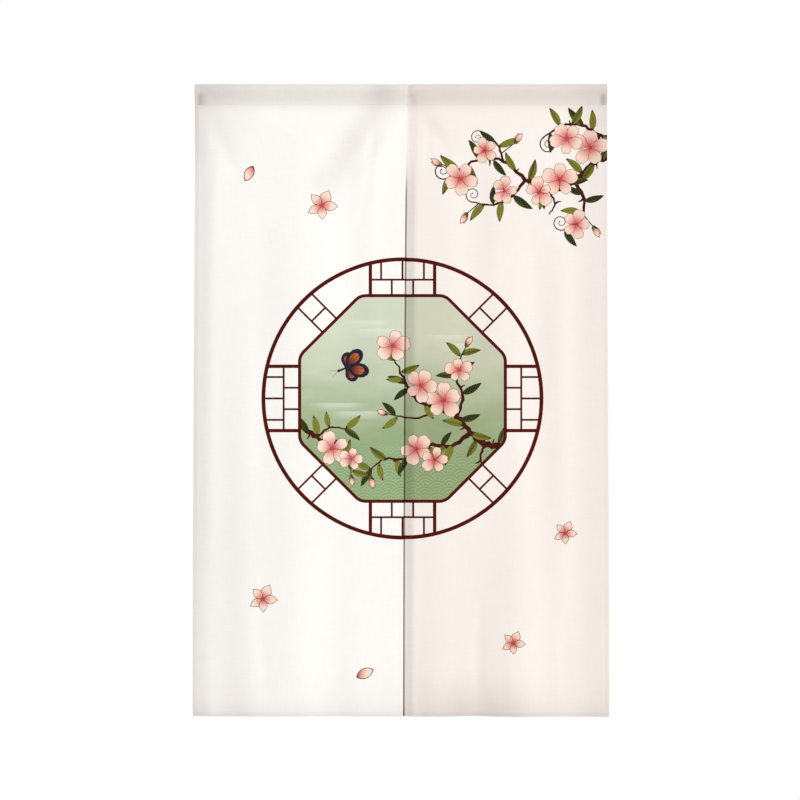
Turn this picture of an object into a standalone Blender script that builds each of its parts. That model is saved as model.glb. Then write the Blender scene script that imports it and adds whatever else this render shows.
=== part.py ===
"""A two-panel noren, a short door curtain, hanging from its rod pocket.

Metres, +Z up. The origin is the middle of the curtain's top edge, and the front faces -Y.
Each cloth is two pieces: a panel, which hangs flat with soft folds, and above the pocket seam a
heading, the same cloth turned over backwards and stitched down as a flattened sleeve for a rod.
The left panel hangs in front of the right one along the middle. Both tops were turned over
together, so the end of the right sleeve lies inside the end of the left one.
"""

import math
from collections import namedtuple

import bmesh
import bpy

# Heights, measured down from the top edge
DROP = 1.300
POCKET = 0.045
SEAM_GAP = 0.0003

# Cloth and hems
CLOTH = 0.0010
HEM_THICK = 0.0018
SIDE_HEM = 0.0080
BOTTOM_HEM = 0.0090
HEM_STEP = 0.0004
PANEL_WIDTH = 0.4375

# The rod pocket's flattened sleeve
POCKET_DEPTH = 0.0140
POCKET_SWELL = 0.0012
POCKET_WAVES = (13.0, 31.0)
SEAM_LAND = 0.0036
SEAM_SOLID = 0.0030
NEST_GAP = 0.00035
NEST_CLEAR = 0.0020
NEST_RUN = 0.0120

# Where the two panels lie over each other
SEAM_OFFSET = 0.0011
SLIT_FORWARD = 0.0012
SLIT_BACK = 0.0042
SLIT_REACH = 0.0500
TUCK_RUN = 0.0220
PART_START = 0.1100
PART_DROP = 0.1300

# The left edge and the bottom turn away from the viewer and the right edge towards them
CURL_DROP = 0.1400
EDGE_CURL = {"left": 0.0065, "right": -0.0045}
EDGE_REACH = {"left": 0.0420, "right": 0.0780}
HEM_CURL = 0.0035
HEM_REACH = 0.0450

# Grid steps
PANEL_COLUMNS = 30
PANEL_ROWS = 25
SEAM_ROWS = (0.006, 0.020)
SLEEVE_STEPS = 12
SLEEVE_POINTS = 23
BEND_STEPS = 4
BEND_CLEAR = 0.0050

CLOTH_COLOUR = (0.92, 0.89, 0.86, 1.0)
HEADING_COLOUR = (0.86, 0.83, 0.80, 1.0)
CLOTH_ROUGHNESS = 0.85
SHARP_ANGLE = math.radians(40.0)

# The outline: how far each edge stands from the middle at a distance down from the top
Edge = namedtuple("Edge", "down outer_left slit outer_right")
EDGES = (
    Edge(0.000, -0.4235, 0.0134, 0.4235),
    Edge(0.220, -0.4240, 0.0095, 0.4232),
    Edge(0.360, -0.4249, 0.0080, 0.4235),
    Edge(0.650, -0.4268, 0.0063, 0.4250),
    Edge(0.960, -0.4283, 0.0049, 0.4263),
    Edge(DROP, -0.4290, 0.0042, 0.4276),
)

# The soft folds: a positive depth is a trough, a negative one a ridge towards the viewer.
# A fold leans from top_x to hem_x, starts at begins, is full at fullest and gone at ends.
Fold = namedtuple("Fold", "top_x hem_x reach depth begins fullest fades ends")
NEVER = 9.0
FOLDS = {
    "left": (
        Fold(-0.372, -0.362, 0.056, 0.0026, 0.38, 0.78, NEVER, NEVER),
        Fold(-0.215, -0.205, 0.085, -0.0042, 0.06, 0.34, 1.05, 1.40),
        Fold(-0.120, -0.085, 0.060, 0.0034, 0.06, 0.20, 0.42, 0.95),
        Fold(-0.160, -0.150, 0.070, 0.0030, 0.85, 1.25, NEVER, NEVER),
    ),
    "right": (
        Fold(0.156, 0.146, 0.060, 0.0070, 0.88, 1.27, NEVER, NEVER),
        Fold(0.088, 0.080, 0.048, -0.0024, 0.55, 1.15, NEVER, NEVER),
        Fold(0.240, 0.244, 0.066, -0.0050, 0.62, 1.20, NEVER, NEVER),
        Fold(0.326, 0.332, 0.060, -0.0016, 0.10, 0.55, 0.95, 1.45),
        Fold(0.275, 0.292, 0.056, 0.0036, 0.22, 0.50, 0.72, 1.05),
        Fold(0.150, 0.140, 0.060, 0.0030, 0.06, 0.22, 0.40, 0.80),
    ),
}

# Tension creases that run slantwise from the seam: the two ends, each as across and down
Slant = namedtuple("Slant", "from_x from_down to_x to_down reach depth")
SLANTS = {
    "left": (
        Slant(-0.012, 0.052, -0.118, 0.215, 0.026, 0.0022),
        Slant(-0.400, 0.052, -0.338, 0.190, 0.028, 0.0020),
    ),
    "right": (
        Slant(0.034, 0.052, 0.105, 0.150, 0.026, 0.0020),
        Slant(0.404, 0.052, 0.352, 0.150, 0.026, 0.0018),
    ),
}


def smooth(value, start, stop):
    """0 before start, 1 after stop and an S-curve between them."""
    share = min(max((value - start) / (stop - start), 0.0), 1.0)
    return share * share * (3.0 - 2.0 * share)


def bell(distance, reach):
    """A soft bump: 1 at no distance and 0 from the reach outwards."""
    if abs(distance) >= reach:
        return 0.0
    return 0.5 + 0.5 * math.cos(math.pi * distance / reach)


def edge_at(down, column):
    """One column of the outline table at a height, on a smooth line through its rows."""
    rows = EDGES
    last = len(rows) - 2
    at = next((i for i in range(last) if down < rows[i + 1].down), last)
    low, high = rows[at], rows[at + 1]
    before, after = rows[max(at - 1, 0)], rows[min(at + 2, len(rows) - 1)]
    span = high.down - low.down

    def value(row):
        return getattr(row, column)

    slope_low = (value(high) - value(before)) / (high.down - before.down) * span
    slope_high = (value(after) - value(low)) / (after.down - low.down) * span
    t = (down - low.down) / span
    return (
        (2 * t**3 - 3 * t**2 + 1) * value(low)
        + (t**3 - 2 * t**2 + t) * slope_low
        + (3 * t**2 - 2 * t**3) * value(high)
        + (t**3 - t**2) * slope_high
    )


def panel_edges(side, down):
    """The left and right edge of a panel's cloth at a height."""
    if side == "left":
        return edge_at(down, "outer_left"), edge_at(down, "slit")
    right = edge_at(down, "outer_right")
    return right - PANEL_WIDTH, right


def fold_depth(fold, x, down):
    """How far one vertical fold moves the cloth at a place."""
    if down <= fold.begins or down >= fold.ends:
        return 0.0
    centre = fold.top_x + (fold.hem_x - fold.top_x) * down / DROP
    grown = smooth(down, fold.begins, fold.fullest)
    left = 1.0 - smooth(down, fold.fades, fold.ends) if fold.fades < NEVER else 1.0
    return fold.depth * grown * left * bell(x - centre, fold.reach)


def slant_depth(slant, x, down):
    """How far one slanting crease moves the cloth at a place."""
    run_x, run_down = slant.to_x - slant.from_x, slant.to_down - slant.from_down
    length = math.hypot(run_x, run_down)
    along = ((x - slant.from_x) * run_x + (down - slant.from_down) * run_down) / length
    aside = ((x - slant.from_x) * run_down - (down - slant.from_down) * run_x) / length
    share = along / length
    if share <= 0.0 or share >= 1.0:
        return 0.0
    return slant.depth * math.sin(math.pi * share) * bell(aside, slant.reach)


def panel_middle(side, x, down):
    """The Y of the middle of a panel's cloth."""
    slit = edge_at(down, "slit")
    parted = smooth(down, PART_START, PART_START + PART_DROP)
    curled = smooth(down, POCKET, POCKET + CURL_DROP)
    if side == "left":
        y = -SEAM_OFFSET - SLIT_FORWARD * parted * bell(slit - x, SLIT_REACH)
        outer = x - edge_at(down, "outer_left")
    else:
        tucked = 1.0 - smooth(x, slit + NEST_CLEAR, slit + NEST_CLEAR + TUCK_RUN)
        y = -SEAM_OFFSET + (2.0 * SEAM_OFFSET + SLIT_BACK * parted) * tucked
        outer = edge_at(down, "outer_right") - x
    y += EDGE_CURL[side] * curled * (1.0 - smooth(outer, 0.0, EDGE_REACH[side]))
    y += HEM_CURL * smooth(down, DROP - HEM_REACH, DROP)
    y += sum(fold_depth(fold, x, down) for fold in FOLDS[side])
    y += sum(slant_depth(slant, x, down) for slant in SLANTS[side])
    return y


def column_stops():
    """Shares of a panel's width: a step at each hem's inner line and even steps between."""
    start, stop = SIDE_HEM + HEM_STEP, PANEL_WIDTH - SIDE_HEM - HEM_STEP
    inside = [start + i / PANEL_COLUMNS * (stop - start) for i in range(PANEL_COLUMNS + 1)]
    across = [0.0, SIDE_HEM] + inside + [PANEL_WIDTH - SIDE_HEM, PANEL_WIDTH]
    return [x / PANEL_WIDTH for x in across]


def row_stops():
    """Distances down from the top for a panel's rows, closer together near the seam and hem."""
    start, stop = POCKET + SEAM_GAP, DROP - BOTTOM_HEM - HEM_STEP
    near = [start + step for step in SEAM_ROWS]
    inside = [near[-1] + i / PANEL_ROWS * (stop - near[-1]) for i in range(1, PANEL_ROWS + 1)]
    return [start] + near + inside + [DROP - BOTTOM_HEM, DROP]


def closed_object(name, verts, faces, place, colour, holder):
    """One closed mesh as an object with its own material, hung from the holder."""
    mesh = bpy.data.meshes.new(name)
    mesh.from_pydata(verts, [], faces)
    work = bmesh.new()
    work.from_mesh(mesh)
    bmesh.ops.recalc_face_normals(work, faces=work.faces)
    work.to_mesh(mesh)
    work.free()
    mesh.shade_smooth()
    mesh.set_sharp_from_angle(angle=SHARP_ANGLE)
    piece = bpy.data.objects.new(name, mesh)
    piece.parent = holder
    piece.location = place
    bpy.context.scene.collection.objects.link(piece)
    mesh.materials.append(cloth_material(name + "_cloth", colour))
    return piece


def cloth_material(name, colour):
    """A matt woven finish in one colour."""
    material = bpy.data.materials.new(name)
    material.use_nodes = True
    shader = material.node_tree.nodes["Principled BSDF"]
    shader.inputs["Base Color"].default_value = colour
    shader.inputs["Roughness"].default_value = CLOTH_ROUGHNESS
    shader.inputs["Metallic"].default_value = 0.0
    return material


def make_panel(side, holder):
    """A panel from the pocket seam to the hem, thicker where its edges are turned over."""
    columns = column_stops()
    rows = row_stops()
    seam = rows[0]
    front, back = [], []
    for r, down in enumerate(rows):
        left, right = panel_edges(side, down)
        for c, share in enumerate(columns):
            in_hem = c < 2 or c > len(columns) - 3 or r > len(rows) - 3
            half = (HEM_THICK if in_hem else CLOTH) / 2
            x = left + (right - left) * share
            y = panel_middle(side, x, down)
            front.append((x, y - half, seam - down))
            back.append((x, y + half, seam - down))
    wide, high = len(columns), len(rows)
    other = wide * high

    def at(r, c):
        return r * wide + c

    faces = []
    for r in range(high - 1):
        for c in range(wide - 1):
            ring = (at(r, c), at(r, c + 1), at(r + 1, c + 1), at(r + 1, c))
            faces.append(ring)
            faces.append(tuple(other + i for i in reversed(ring)))
    rim = [at(0, c) for c in range(wide)]
    rim += [at(r, wide - 1) for r in range(1, high)]
    rim += [at(high - 1, c) for c in range(wide - 2, -1, -1)]
    rim += [at(r, 0) for r in range(high - 2, 0, -1)]
    for a, b in zip(rim, rim[1:] + rim[:1]):
        faces.append((a, other + a, other + b, b))
    name = "panel_" + side
    return closed_object(name, front + back, faces, (0.0, 0.0, -seam), CLOTH_COLOUR, holder)


def sleeve_ring(depth, top, bottom, land):
    """The outline of a flattened sleeve across its length, as Y and Z, from the seam round."""
    half, middle, tall = depth / 2, (top + bottom) / 2, (top - bottom) / 2
    lowest = math.cos(math.pi / SLEEVE_POINTS)
    points = []
    for i in range(SLEEVE_POINTS):
        turn = -math.pi / 2 + (i + 0.5) / SLEEVE_POINTS * 2 * math.pi
        wide, up = math.cos(turn), math.sin(turn)
        foot = math.copysign(land / 2, wide) if up < 0.0 else 0.0
        rise = up / lowest if up < 0.0 else up
        points.append((-foot - (half - abs(foot)) * wide, middle + tall * rise))
    return points


def pocket_depth(x):
    """How deep the pocket stands open at a place along the curtain, a little uneven."""
    long_wave, short_wave = POCKET_WAVES
    return POCKET_DEPTH + POCKET_SWELL * math.cos(long_wave * x) * math.cos(short_wave * x)


def sleeve_section(side, x):
    """The outer and inner outline of a heading at a place along the curtain."""
    depth, top, bottom, land, solid = pocket_depth(x), 0.0, -POCKET, SEAM_LAND, SEAM_SOLID
    if side == "left":
        tucked_edge = panel_edges("right", 0.0)[0]
        lapped = smooth(x, tucked_edge - NEST_RUN, tucked_edge - NEST_CLEAR)
        solid += (CLOTH - SEAM_SOLID) * lapped
    else:
        slit = edge_at(0.0, "slit")
        nested = 1.0 - smooth(x, slit + NEST_CLEAR, slit + NEST_RUN)
        inset = (CLOTH + NEST_GAP) * nested
        depth, top, bottom = depth - 2 * inset, top - inset, bottom + inset
        land *= 1.0 - nested
        solid += (CLOTH - SEAM_SOLID) * nested
    outer = sleeve_ring(depth, top, bottom, land)
    inner = sleeve_ring(depth - 2 * CLOTH, top - CLOTH, bottom + solid, 0.0)
    return outer, inner


def sleeve_stations(side):
    """Places along a heading: even steps, and short ones where its section changes."""
    start, stop = panel_edges(side, 0.0)
    if side == "left":
        change = panel_edges("right", 0.0)[0] - NEST_RUN
    else:
        change = edge_at(0.0, "slit") + NEST_CLEAR
    short = [change + i / BEND_STEPS * (NEST_RUN - NEST_CLEAR) for i in range(BEND_STEPS + 1)]
    even = [start + i / SLEEVE_STEPS * (stop - start) for i in range(SLEEVE_STEPS + 1)]
    apart = [x for x in even if x < short[0] - BEND_CLEAR or x > short[-1] + BEND_CLEAR]
    return sorted(apart + short)


def make_heading(side, holder):
    """A heading: a sleeve, open at both ends, which runs the width of its cloth."""
    stations = sleeve_stations(side)
    verts = []
    for x in stations:
        for ring in sleeve_section(side, x):
            verts += [(x, y, z) for y, z in ring]
    around = SLEEVE_POINTS

    def at(station, layer, i):
        return (2 * station + layer) * around + i % around

    faces = []
    for s in range(len(stations) - 1):
        for i in range(around):
            for layer in (0, 1):
                near = (at(s, layer, i), at(s, layer, i + 1))
                far = (at(s + 1, layer, i + 1), at(s + 1, layer, i))
                faces.append(near + far if layer else (near + far)[::-1])
    for s in (0, len(stations) - 1):
        for i in range(around):
            faces.append((at(s, 0, i), at(s, 0, i + 1), at(s, 1, i + 1), at(s, 1, i)))
    return closed_object("heading_" + side, verts, faces, (0.0, 0.0, 0.0), HEADING_COLOUR, holder)


def main():
    for old in list(bpy.data.objects):
        bpy.data.objects.remove(old)
    holder = bpy.data.objects.new("noren", None)
    bpy.context.scene.collection.objects.link(holder)
    for side in ("left", "right"):
        make_heading(side, holder)
        make_panel(side, holder)


main()
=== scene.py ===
# %% [markdown]
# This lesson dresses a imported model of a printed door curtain, the kind that hangs in two cloths
# from a rod. The model is plain and stays where it is: it fixes every size. Here each cloth
# becomes one thin closed sheet with its print cut into the mesh, its hems, its stitches and its
# weave. Everything is in metres, with Z up, the top edge at height 0 and the front facing -Y.

import math
from collections import namedtuple

import bpy
import numpy as np
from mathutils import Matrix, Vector
from mathutils.geometry import delaunay_2d_cdt


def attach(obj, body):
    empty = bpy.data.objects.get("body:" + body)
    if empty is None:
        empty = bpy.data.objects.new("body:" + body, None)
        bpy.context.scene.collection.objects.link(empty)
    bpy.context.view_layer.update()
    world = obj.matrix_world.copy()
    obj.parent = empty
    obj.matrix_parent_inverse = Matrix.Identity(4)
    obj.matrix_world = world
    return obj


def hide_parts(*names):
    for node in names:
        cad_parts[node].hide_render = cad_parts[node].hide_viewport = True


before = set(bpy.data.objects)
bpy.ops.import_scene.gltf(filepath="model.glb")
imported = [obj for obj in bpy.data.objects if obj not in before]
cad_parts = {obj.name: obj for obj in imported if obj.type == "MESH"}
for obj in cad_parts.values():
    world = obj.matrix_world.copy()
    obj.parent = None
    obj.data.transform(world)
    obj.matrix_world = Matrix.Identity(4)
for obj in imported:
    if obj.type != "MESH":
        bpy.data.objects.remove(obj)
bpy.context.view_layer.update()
scene = bpy.context.scene
print("solids:", ", ".join(sorted(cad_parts)))

# %% [markdown]
# The picture was taken straight on, from far enough away that nothing converges. The camera
# stands four metres in front, level with the middle of the picture. Its lens is worked out from
# the width that the picture covers, so that one pixel is the same length as in the photograph.

# %% Camera
PICTURE_SIDE = 800
DROP = 1.300
DROP_IN_PIXELS = 632.5
TOP_EDGE_PIXEL = 84.2
MIDDLE_PIXEL = 401.0
CAMERA_DISTANCE = 4.0
PIXEL = DROP / DROP_IN_PIXELS

camera_data = bpy.data.cameras.new("front_camera")
camera_data.sensor_width = 36.0
camera_data.lens = camera_data.sensor_width * CAMERA_DISTANCE / (PICTURE_SIDE * PIXEL)
camera = bpy.data.objects.new("front_camera", camera_data)
scene.collection.objects.link(camera)
camera.location = (
    (PICTURE_SIDE / 2 - MIDDLE_PIXEL) * PIXEL,
    -CAMERA_DISTANCE,
    -(PICTURE_SIDE / 2 - TOP_EDGE_PIXEL) * PIXEL,
)
camera.rotation_euler = (math.pi / 2, 0.0, 0.0)
scene.camera = camera
print(f"one pixel is {PIXEL * 1000:.3f} mm, lens {camera_data.lens:.1f} mm")

# %% [markdown]
# A studio for a pale cloth is bright and soft. A large lamp stands in front and to the right, so
# that folds which turn to the left fall into faint shade. A weak one behind lights the back, and
# a white surround fills the rest. The surround looks white to the camera but lights the cloth at
# about half strength, or the folds would wash out. The floor is a pale disc where a doorway's
# floor would be.

# %% Floor, lamps and surround
FLOOR_HEIGHT = -2.0
FLOOR_RADIUS = 2.3
FLOOR_SIDES = 96
SURROUND_LIGHT = 0.56
KEY_PLACE = Vector((5.0, -5.4, 2.5))
KEY_POWER = 405.0
KEY_SIZE = 2.6
FILL_PLACE = Vector((2.4, 3.2, 0.6))
FILL_POWER = 55.0
FILL_SIZE = 2.4
CURTAIN_MIDDLE = Vector((0.0, 0.0, -0.65))


def add_lamp(name, place, power, size):
    """A square soft lamp that faces the middle of the curtain."""
    lamp_data = bpy.data.lights.new(name, "AREA")
    lamp_data.energy = power
    lamp_data.size = size
    lamp = bpy.data.objects.new(name, lamp_data)
    lamp.location = place
    lamp.rotation_euler = (CURTAIN_MIDDLE - place).to_track_quat("-Z", "Y").to_euler()
    scene.collection.objects.link(lamp)


add_lamp("key_lamp", KEY_PLACE, KEY_POWER, KEY_SIZE)
add_lamp("fill_lamp", FILL_PLACE, FILL_POWER, FILL_SIZE)

surround = bpy.data.worlds.new("white_surround")
surround.use_nodes = True
scene.world = surround
world_tree = surround.node_tree
seen = world_tree.nodes["Background"]
seen.inputs["Color"].default_value = (1.0, 1.0, 1.0, 1.0)
lighting = world_tree.nodes.new("ShaderNodeBackground")
lighting.inputs["Color"].default_value = (1.0, 0.995, 0.985, 1.0)
lighting.inputs["Strength"].default_value = SURROUND_LIGHT
ray = world_tree.nodes.new("ShaderNodeLightPath")
either = world_tree.nodes.new("ShaderNodeMixShader")
world_tree.links.new(ray.outputs["Is Camera Ray"], either.inputs["Fac"])
world_tree.links.new(lighting.outputs["Background"], either.inputs[1])
world_tree.links.new(seen.outputs["Background"], either.inputs[2])
world_tree.links.new(either.outputs["Shader"], world_tree.nodes["World Output"].inputs["Surface"])
scene.view_settings.view_transform = "Standard"

floor_mesh = bpy.data.meshes.new("studio_floor")
rim = [2 * math.pi * i / FLOOR_SIDES for i in range(FLOOR_SIDES)]
floor_mesh.from_pydata(
    [(FLOOR_RADIUS * math.cos(t), FLOOR_RADIUS * math.sin(t), FLOOR_HEIGHT) for t in rim],
    [],
    [tuple(range(FLOOR_SIDES))],
)
floor_paint = bpy.data.materials.new("floor_paint")
floor_paint.use_nodes = True
floor_shader = floor_paint.node_tree.nodes["Principled BSDF"]
floor_shader.inputs["Base Color"].default_value = (0.86, 0.85, 0.84, 1.0)
floor_shader.inputs["Roughness"].default_value = 0.8
floor_mesh.materials.append(floor_paint)
studio_floor = bpy.data.objects.new("studio_floor", floor_mesh)
scene.collection.objects.link(studio_floor)
print("floor at", FLOOR_HEIGHT, "m and two lamps")

# %% [markdown]
# The model's cloth is 1 mm thick so that it can be a solid. Its outline and folds are right, so
# this lesson works with the same tables: the outline at a few heights, the broad folds, and the
# slanting creases that pull away from the pocket seam. One more table holds finer creases, which
# the real cloth takes because it is thinner than a solid can be.

# %% Sizes and folds shared with the solids
POCKET = 0.045
SOLID_CLOTH = 0.0010
SIDE_HEM = 0.0080
BOTTOM_HEM = 0.0090
PANEL_WIDTH = 0.4375
POCKET_DEPTH = 0.0140
POCKET_SWELL = 0.0012
POCKET_WAVES = (13.0, 31.0)
NEST_GAP = 0.00035
NEST_CLEAR = 0.0020
NEST_RUN = 0.0120
SEAM_OFFSET = 0.0011
SLIT_FORWARD = 0.0012
SLIT_BACK = 0.0042
SLIT_REACH = 0.0500
TUCK_RUN = 0.0220
PART_START = 0.1100
PART_DROP = 0.1300
CURL_DROP = 0.1400
EDGE_CURL = {"left": 0.0065, "right": -0.0045}
EDGE_REACH = {"left": 0.0420, "right": 0.0780}
HEM_CURL = 0.0035
HEM_REACH = 0.0450

Edge = namedtuple("Edge", "down outer_left slit outer_right")
EDGES = (
    Edge(0.000, -0.4235, 0.0134, 0.4235),
    Edge(0.220, -0.4240, 0.0095, 0.4232),
    Edge(0.360, -0.4249, 0.0080, 0.4235),
    Edge(0.650, -0.4268, 0.0063, 0.4250),
    Edge(0.960, -0.4283, 0.0049, 0.4263),
    Edge(DROP, -0.4290, 0.0042, 0.4276),
)

Fold = namedtuple("Fold", "top_x hem_x reach depth begins fullest fades ends")
NEVER = 9.0
FOLDS = {
    "left": (
        Fold(-0.372, -0.362, 0.056, 0.0026, 0.38, 0.78, NEVER, NEVER),
        Fold(-0.215, -0.205, 0.085, -0.0042, 0.06, 0.34, 1.05, 1.40),
        Fold(-0.120, -0.085, 0.060, 0.0034, 0.06, 0.20, 0.42, 0.95),
        Fold(-0.160, -0.150, 0.070, 0.0030, 0.85, 1.25, NEVER, NEVER),
    ),
    "right": (
        Fold(0.156, 0.146, 0.060, 0.0070, 0.88, 1.27, NEVER, NEVER),
        Fold(0.088, 0.080, 0.048, -0.0024, 0.55, 1.15, NEVER, NEVER),
        Fold(0.240, 0.244, 0.066, -0.0050, 0.62, 1.20, NEVER, NEVER),
        Fold(0.326, 0.332, 0.060, -0.0016, 0.10, 0.55, 0.95, 1.45),
        Fold(0.275, 0.292, 0.056, 0.0036, 0.22, 0.50, 0.72, 1.05),
        Fold(0.150, 0.140, 0.060, 0.0030, 0.06, 0.22, 0.40, 0.80),
    ),
}

Slant = namedtuple("Slant", "from_x from_down to_x to_down reach depth")
SLANTS = {
    "left": (
        Slant(-0.012, 0.052, -0.118, 0.215, 0.026, 0.0022),
        Slant(-0.400, 0.052, -0.338, 0.190, 0.028, 0.0020),
    ),
    "right": (
        Slant(0.034, 0.052, 0.105, 0.150, 0.026, 0.0020),
        Slant(0.404, 0.052, 0.352, 0.150, 0.026, 0.0018),
    ),
}

# Finer creases that only the thin cloth has
FINE_CREASES = {
    "left": (
        Slant(-0.066, 0.050, -0.058, 0.170, 0.012, 0.0007),
        Slant(-0.385, 0.050, -0.392, 0.240, 0.014, 0.0009),
        Slant(-0.052, 0.056, -0.082, 0.300, 0.016, 0.0009),
        Slant(-0.300, 1.060, -0.268, 1.292, 0.020, 0.0010),
        Slant(-0.395, 0.900, -0.388, 1.290, 0.016, 0.0009),
    ),
    "right": (
        Slant(0.060, 0.050, 0.052, 0.190, 0.012, 0.0008),
        Slant(0.380, 0.050, 0.392, 0.260, 0.014, 0.0009),
        Slant(0.165, 1.020, 0.156, 1.294, 0.015, 0.0012),
        Slant(0.218, 1.120, 0.226, 1.294, 0.014, -0.0010),
        Slant(0.330, 1.080, 0.344, 1.290, 0.018, 0.0010),
    ),
}
print("folds:", {side: len(rows) for side, rows in FOLDS.items()})

# %% [markdown]
# A fold is a trough or a ridge with soft sides. Two small curves shape all of them: one rises
# from 0 to 1 along an S, the other is a bump that ends without a corner. Written for arrays, one
# call works on every point of a cloth at once.

# %% Soft curves and the outline


def smooth(value, start, stop):
    """0 before start, 1 after stop and an S-curve between them."""
    share = np.clip((value - start) / (stop - start), 0.0, 1.0)
    return share * share * (3.0 - 2.0 * share)


def bell(distance, reach):
    """A soft bump: 1 at no distance and 0 from the reach outwards."""
    return 0.5 + 0.5 * np.cos(math.pi * np.clip(np.abs(distance) / reach, 0.0, 1.0))


def edge_at(down, column):
    """One column of the outline table at each height, on a smooth line through its rows."""
    rows = np.array([edge.down for edge in EDGES])
    stands = np.array([getattr(edge, column) for edge in EDGES])
    low = np.clip(np.searchsorted(rows, down, side="right") - 1, 0, len(rows) - 2)
    before, after = np.maximum(low - 1, 0), np.minimum(low + 2, len(rows) - 1)
    span = rows[low + 1] - rows[low]
    slope_low = (stands[low + 1] - stands[before]) / (rows[low + 1] - rows[before]) * span
    slope_high = (stands[after] - stands[low]) / (rows[after] - rows[low]) * span
    t = (down - rows[low]) / span
    return (
        (2 * t**3 - 3 * t**2 + 1) * stands[low]
        + (t**3 - 2 * t**2 + t) * slope_low
        + (3 * t**2 - 2 * t**3) * stands[low + 1]
        + (t**3 - t**2) * slope_high
    )


def panel_edges(side, down):
    """The left and right edge of a panel's cloth at each height."""
    if side == "left":
        return edge_at(down, "outer_left"), edge_at(down, "slit")
    right = edge_at(down, "outer_right")
    return right - PANEL_WIDTH, right


print("slit at the top and the hem:", EDGES[0].slit, EDGES[-1].slit)

# %% [markdown]
# This is how far back the middle of a panel lies at each place. The left panel comes forward
# along the slit and the right one goes back behind it, the outer edges curl, and folds and
# creases are added on top. A stitched hem never lies quite flat, so it gets a faint pucker.

# %% The hanging surface
PUCKER_DEPTH = 0.00022
PUCKER_WAVES = (310.0, 197.0)
PUCKER_REACH = 0.0160


def fold_depth(fold, x, down):
    """How far one vertical fold moves the cloth at each place."""
    centre = fold.top_x + (fold.hem_x - fold.top_x) * down / DROP
    grown = smooth(down, fold.begins, fold.fullest)
    left = 1.0 - smooth(down, fold.fades, fold.ends) if fold.fades < NEVER else 1.0
    return fold.depth * grown * left * bell(x - centre, fold.reach)


def slant_depth(slant, x, down):
    """How far one slanting crease moves the cloth at each place."""
    run_x, run_down = slant.to_x - slant.from_x, slant.to_down - slant.from_down
    length = math.hypot(run_x, run_down)
    along = ((x - slant.from_x) * run_x + (down - slant.from_down) * run_down) / length
    aside = ((x - slant.from_x) * run_down - (down - slant.from_down) * run_x) / length
    share = np.clip(along / length, 0.0, 1.0)
    return slant.depth * np.sin(math.pi * share) * bell(aside, slant.reach)


def panel_middle(side, x, down):
    """The Y of the middle of a panel's cloth."""
    slit = edge_at(down, "slit")
    parted = smooth(down, PART_START, PART_START + PART_DROP)
    curled = smooth(down, POCKET, POCKET + CURL_DROP)
    if side == "left":
        y = -SEAM_OFFSET - SLIT_FORWARD * parted * bell(slit - x, SLIT_REACH)
        outer = x - edge_at(down, "outer_left")
    else:
        tucked = 1.0 - smooth(x, slit + NEST_CLEAR, slit + NEST_CLEAR + TUCK_RUN)
        y = -SEAM_OFFSET + (2.0 * SEAM_OFFSET + SLIT_BACK * parted) * tucked
        outer = edge_at(down, "outer_right") - x
    y = y + EDGE_CURL[side] * curled * (1.0 - smooth(outer, 0.0, EDGE_REACH[side]))
    y = y + HEM_CURL * smooth(down, DROP - HEM_REACH, DROP)
    for fold in FOLDS[side]:
        y = y + fold_depth(fold, x, down)
    for slant in SLANTS[side] + FINE_CREASES[side]:
        y = y + slant_depth(slant, x, down)
    fast, slow = PUCKER_WAVES
    side_pucker = bell(outer, PUCKER_REACH) * np.sin(fast * down) * np.sin(slow * down)
    hem_pucker = bell(DROP - down, PUCKER_REACH) * np.sin(fast * x) * np.sin(slow * x)
    return y + PUCKER_DEPTH * (side_pucker * curled + hem_pucker)


print("the fold depths reach", max(f.depth for f in FOLDS["right"]) * 1000, "mm")

# %% [markdown]
# The cloth is one piece from hem to hem. It runs up the front, turns over the top edge and comes
# down the back, where it is stitched to itself: that makes the pocket. So a place on it has two
# numbers. Across runs from the left edge to the right one. Path is the way down from the top
# edge, and below zero it is the way down the back wall. At the slit the right cloth's end lies
# inside the left one's, because both tops were turned over together.

# %% The whole path of a cloth
THREAD_CLOTH = 0.0006
WALL_STEP = 0.0008
LAP_STEP = 0.0024
TOP_ROUND = 0.0110
TOP_SHARE = 0.36
WALL_BEND = 1.3

Dimple = namedtuple("Dimple", "side x down depth shade")
# Each pinch is a shallow dent with a painted shadow in it.
DIMPLES = (
    Dimple("left", -0.4115, 0.0350, 0.0006, 1.30),
    Dimple("right", 0.0240, 0.0350, 0.0006, 0.40),
    Dimple("right", 0.4150, 0.0350, 0.0006, 1.30),
)
DIMPLE_WIDE = 0.0095
DIMPLE_TALL = 0.0160
STEP = 0.0004


def pocket_half_depth(side, x):
    """Half the pocket's depth at the middle of its wall, less where one end lies in the other."""
    long_wave, short_wave = POCKET_WAVES
    swell = POCKET_SWELL * np.cos(long_wave * x) * np.cos(short_wave * x)
    half = (POCKET_DEPTH + swell - SOLID_CLOTH) / 2
    return half - nest_inset(side, x)


def nest_inset(side, x):
    """How much smaller the right sleeve is where it lies inside the left one."""
    if side == "left":
        return 0.0 * x
    slit = EDGES[0].slit
    return (SOLID_CLOTH + NEST_GAP) * (1.0 - smooth(x, slit + NEST_CLEAR, slit + NEST_RUN))


def dimples(side, x, down):
    """The pinches that hems make in the pocket's wall above the seam: how deep, and how much painted
    shadow they get.
    """
    depth, shade = 0.0 * x, 0.0 * x
    for pinch in DIMPLES:
        if pinch.side == side:
            wide = bell(x - pinch.x, DIMPLE_WIDE)
            tall = 1.0 - smooth(np.abs(down - pinch.down), DIMPLE_TALL * 0.3, DIMPLE_TALL)
            depth = depth + pinch.depth * wide * tall
            shade = shade + pinch.shade * wide * tall
    return depth, shade


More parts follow.
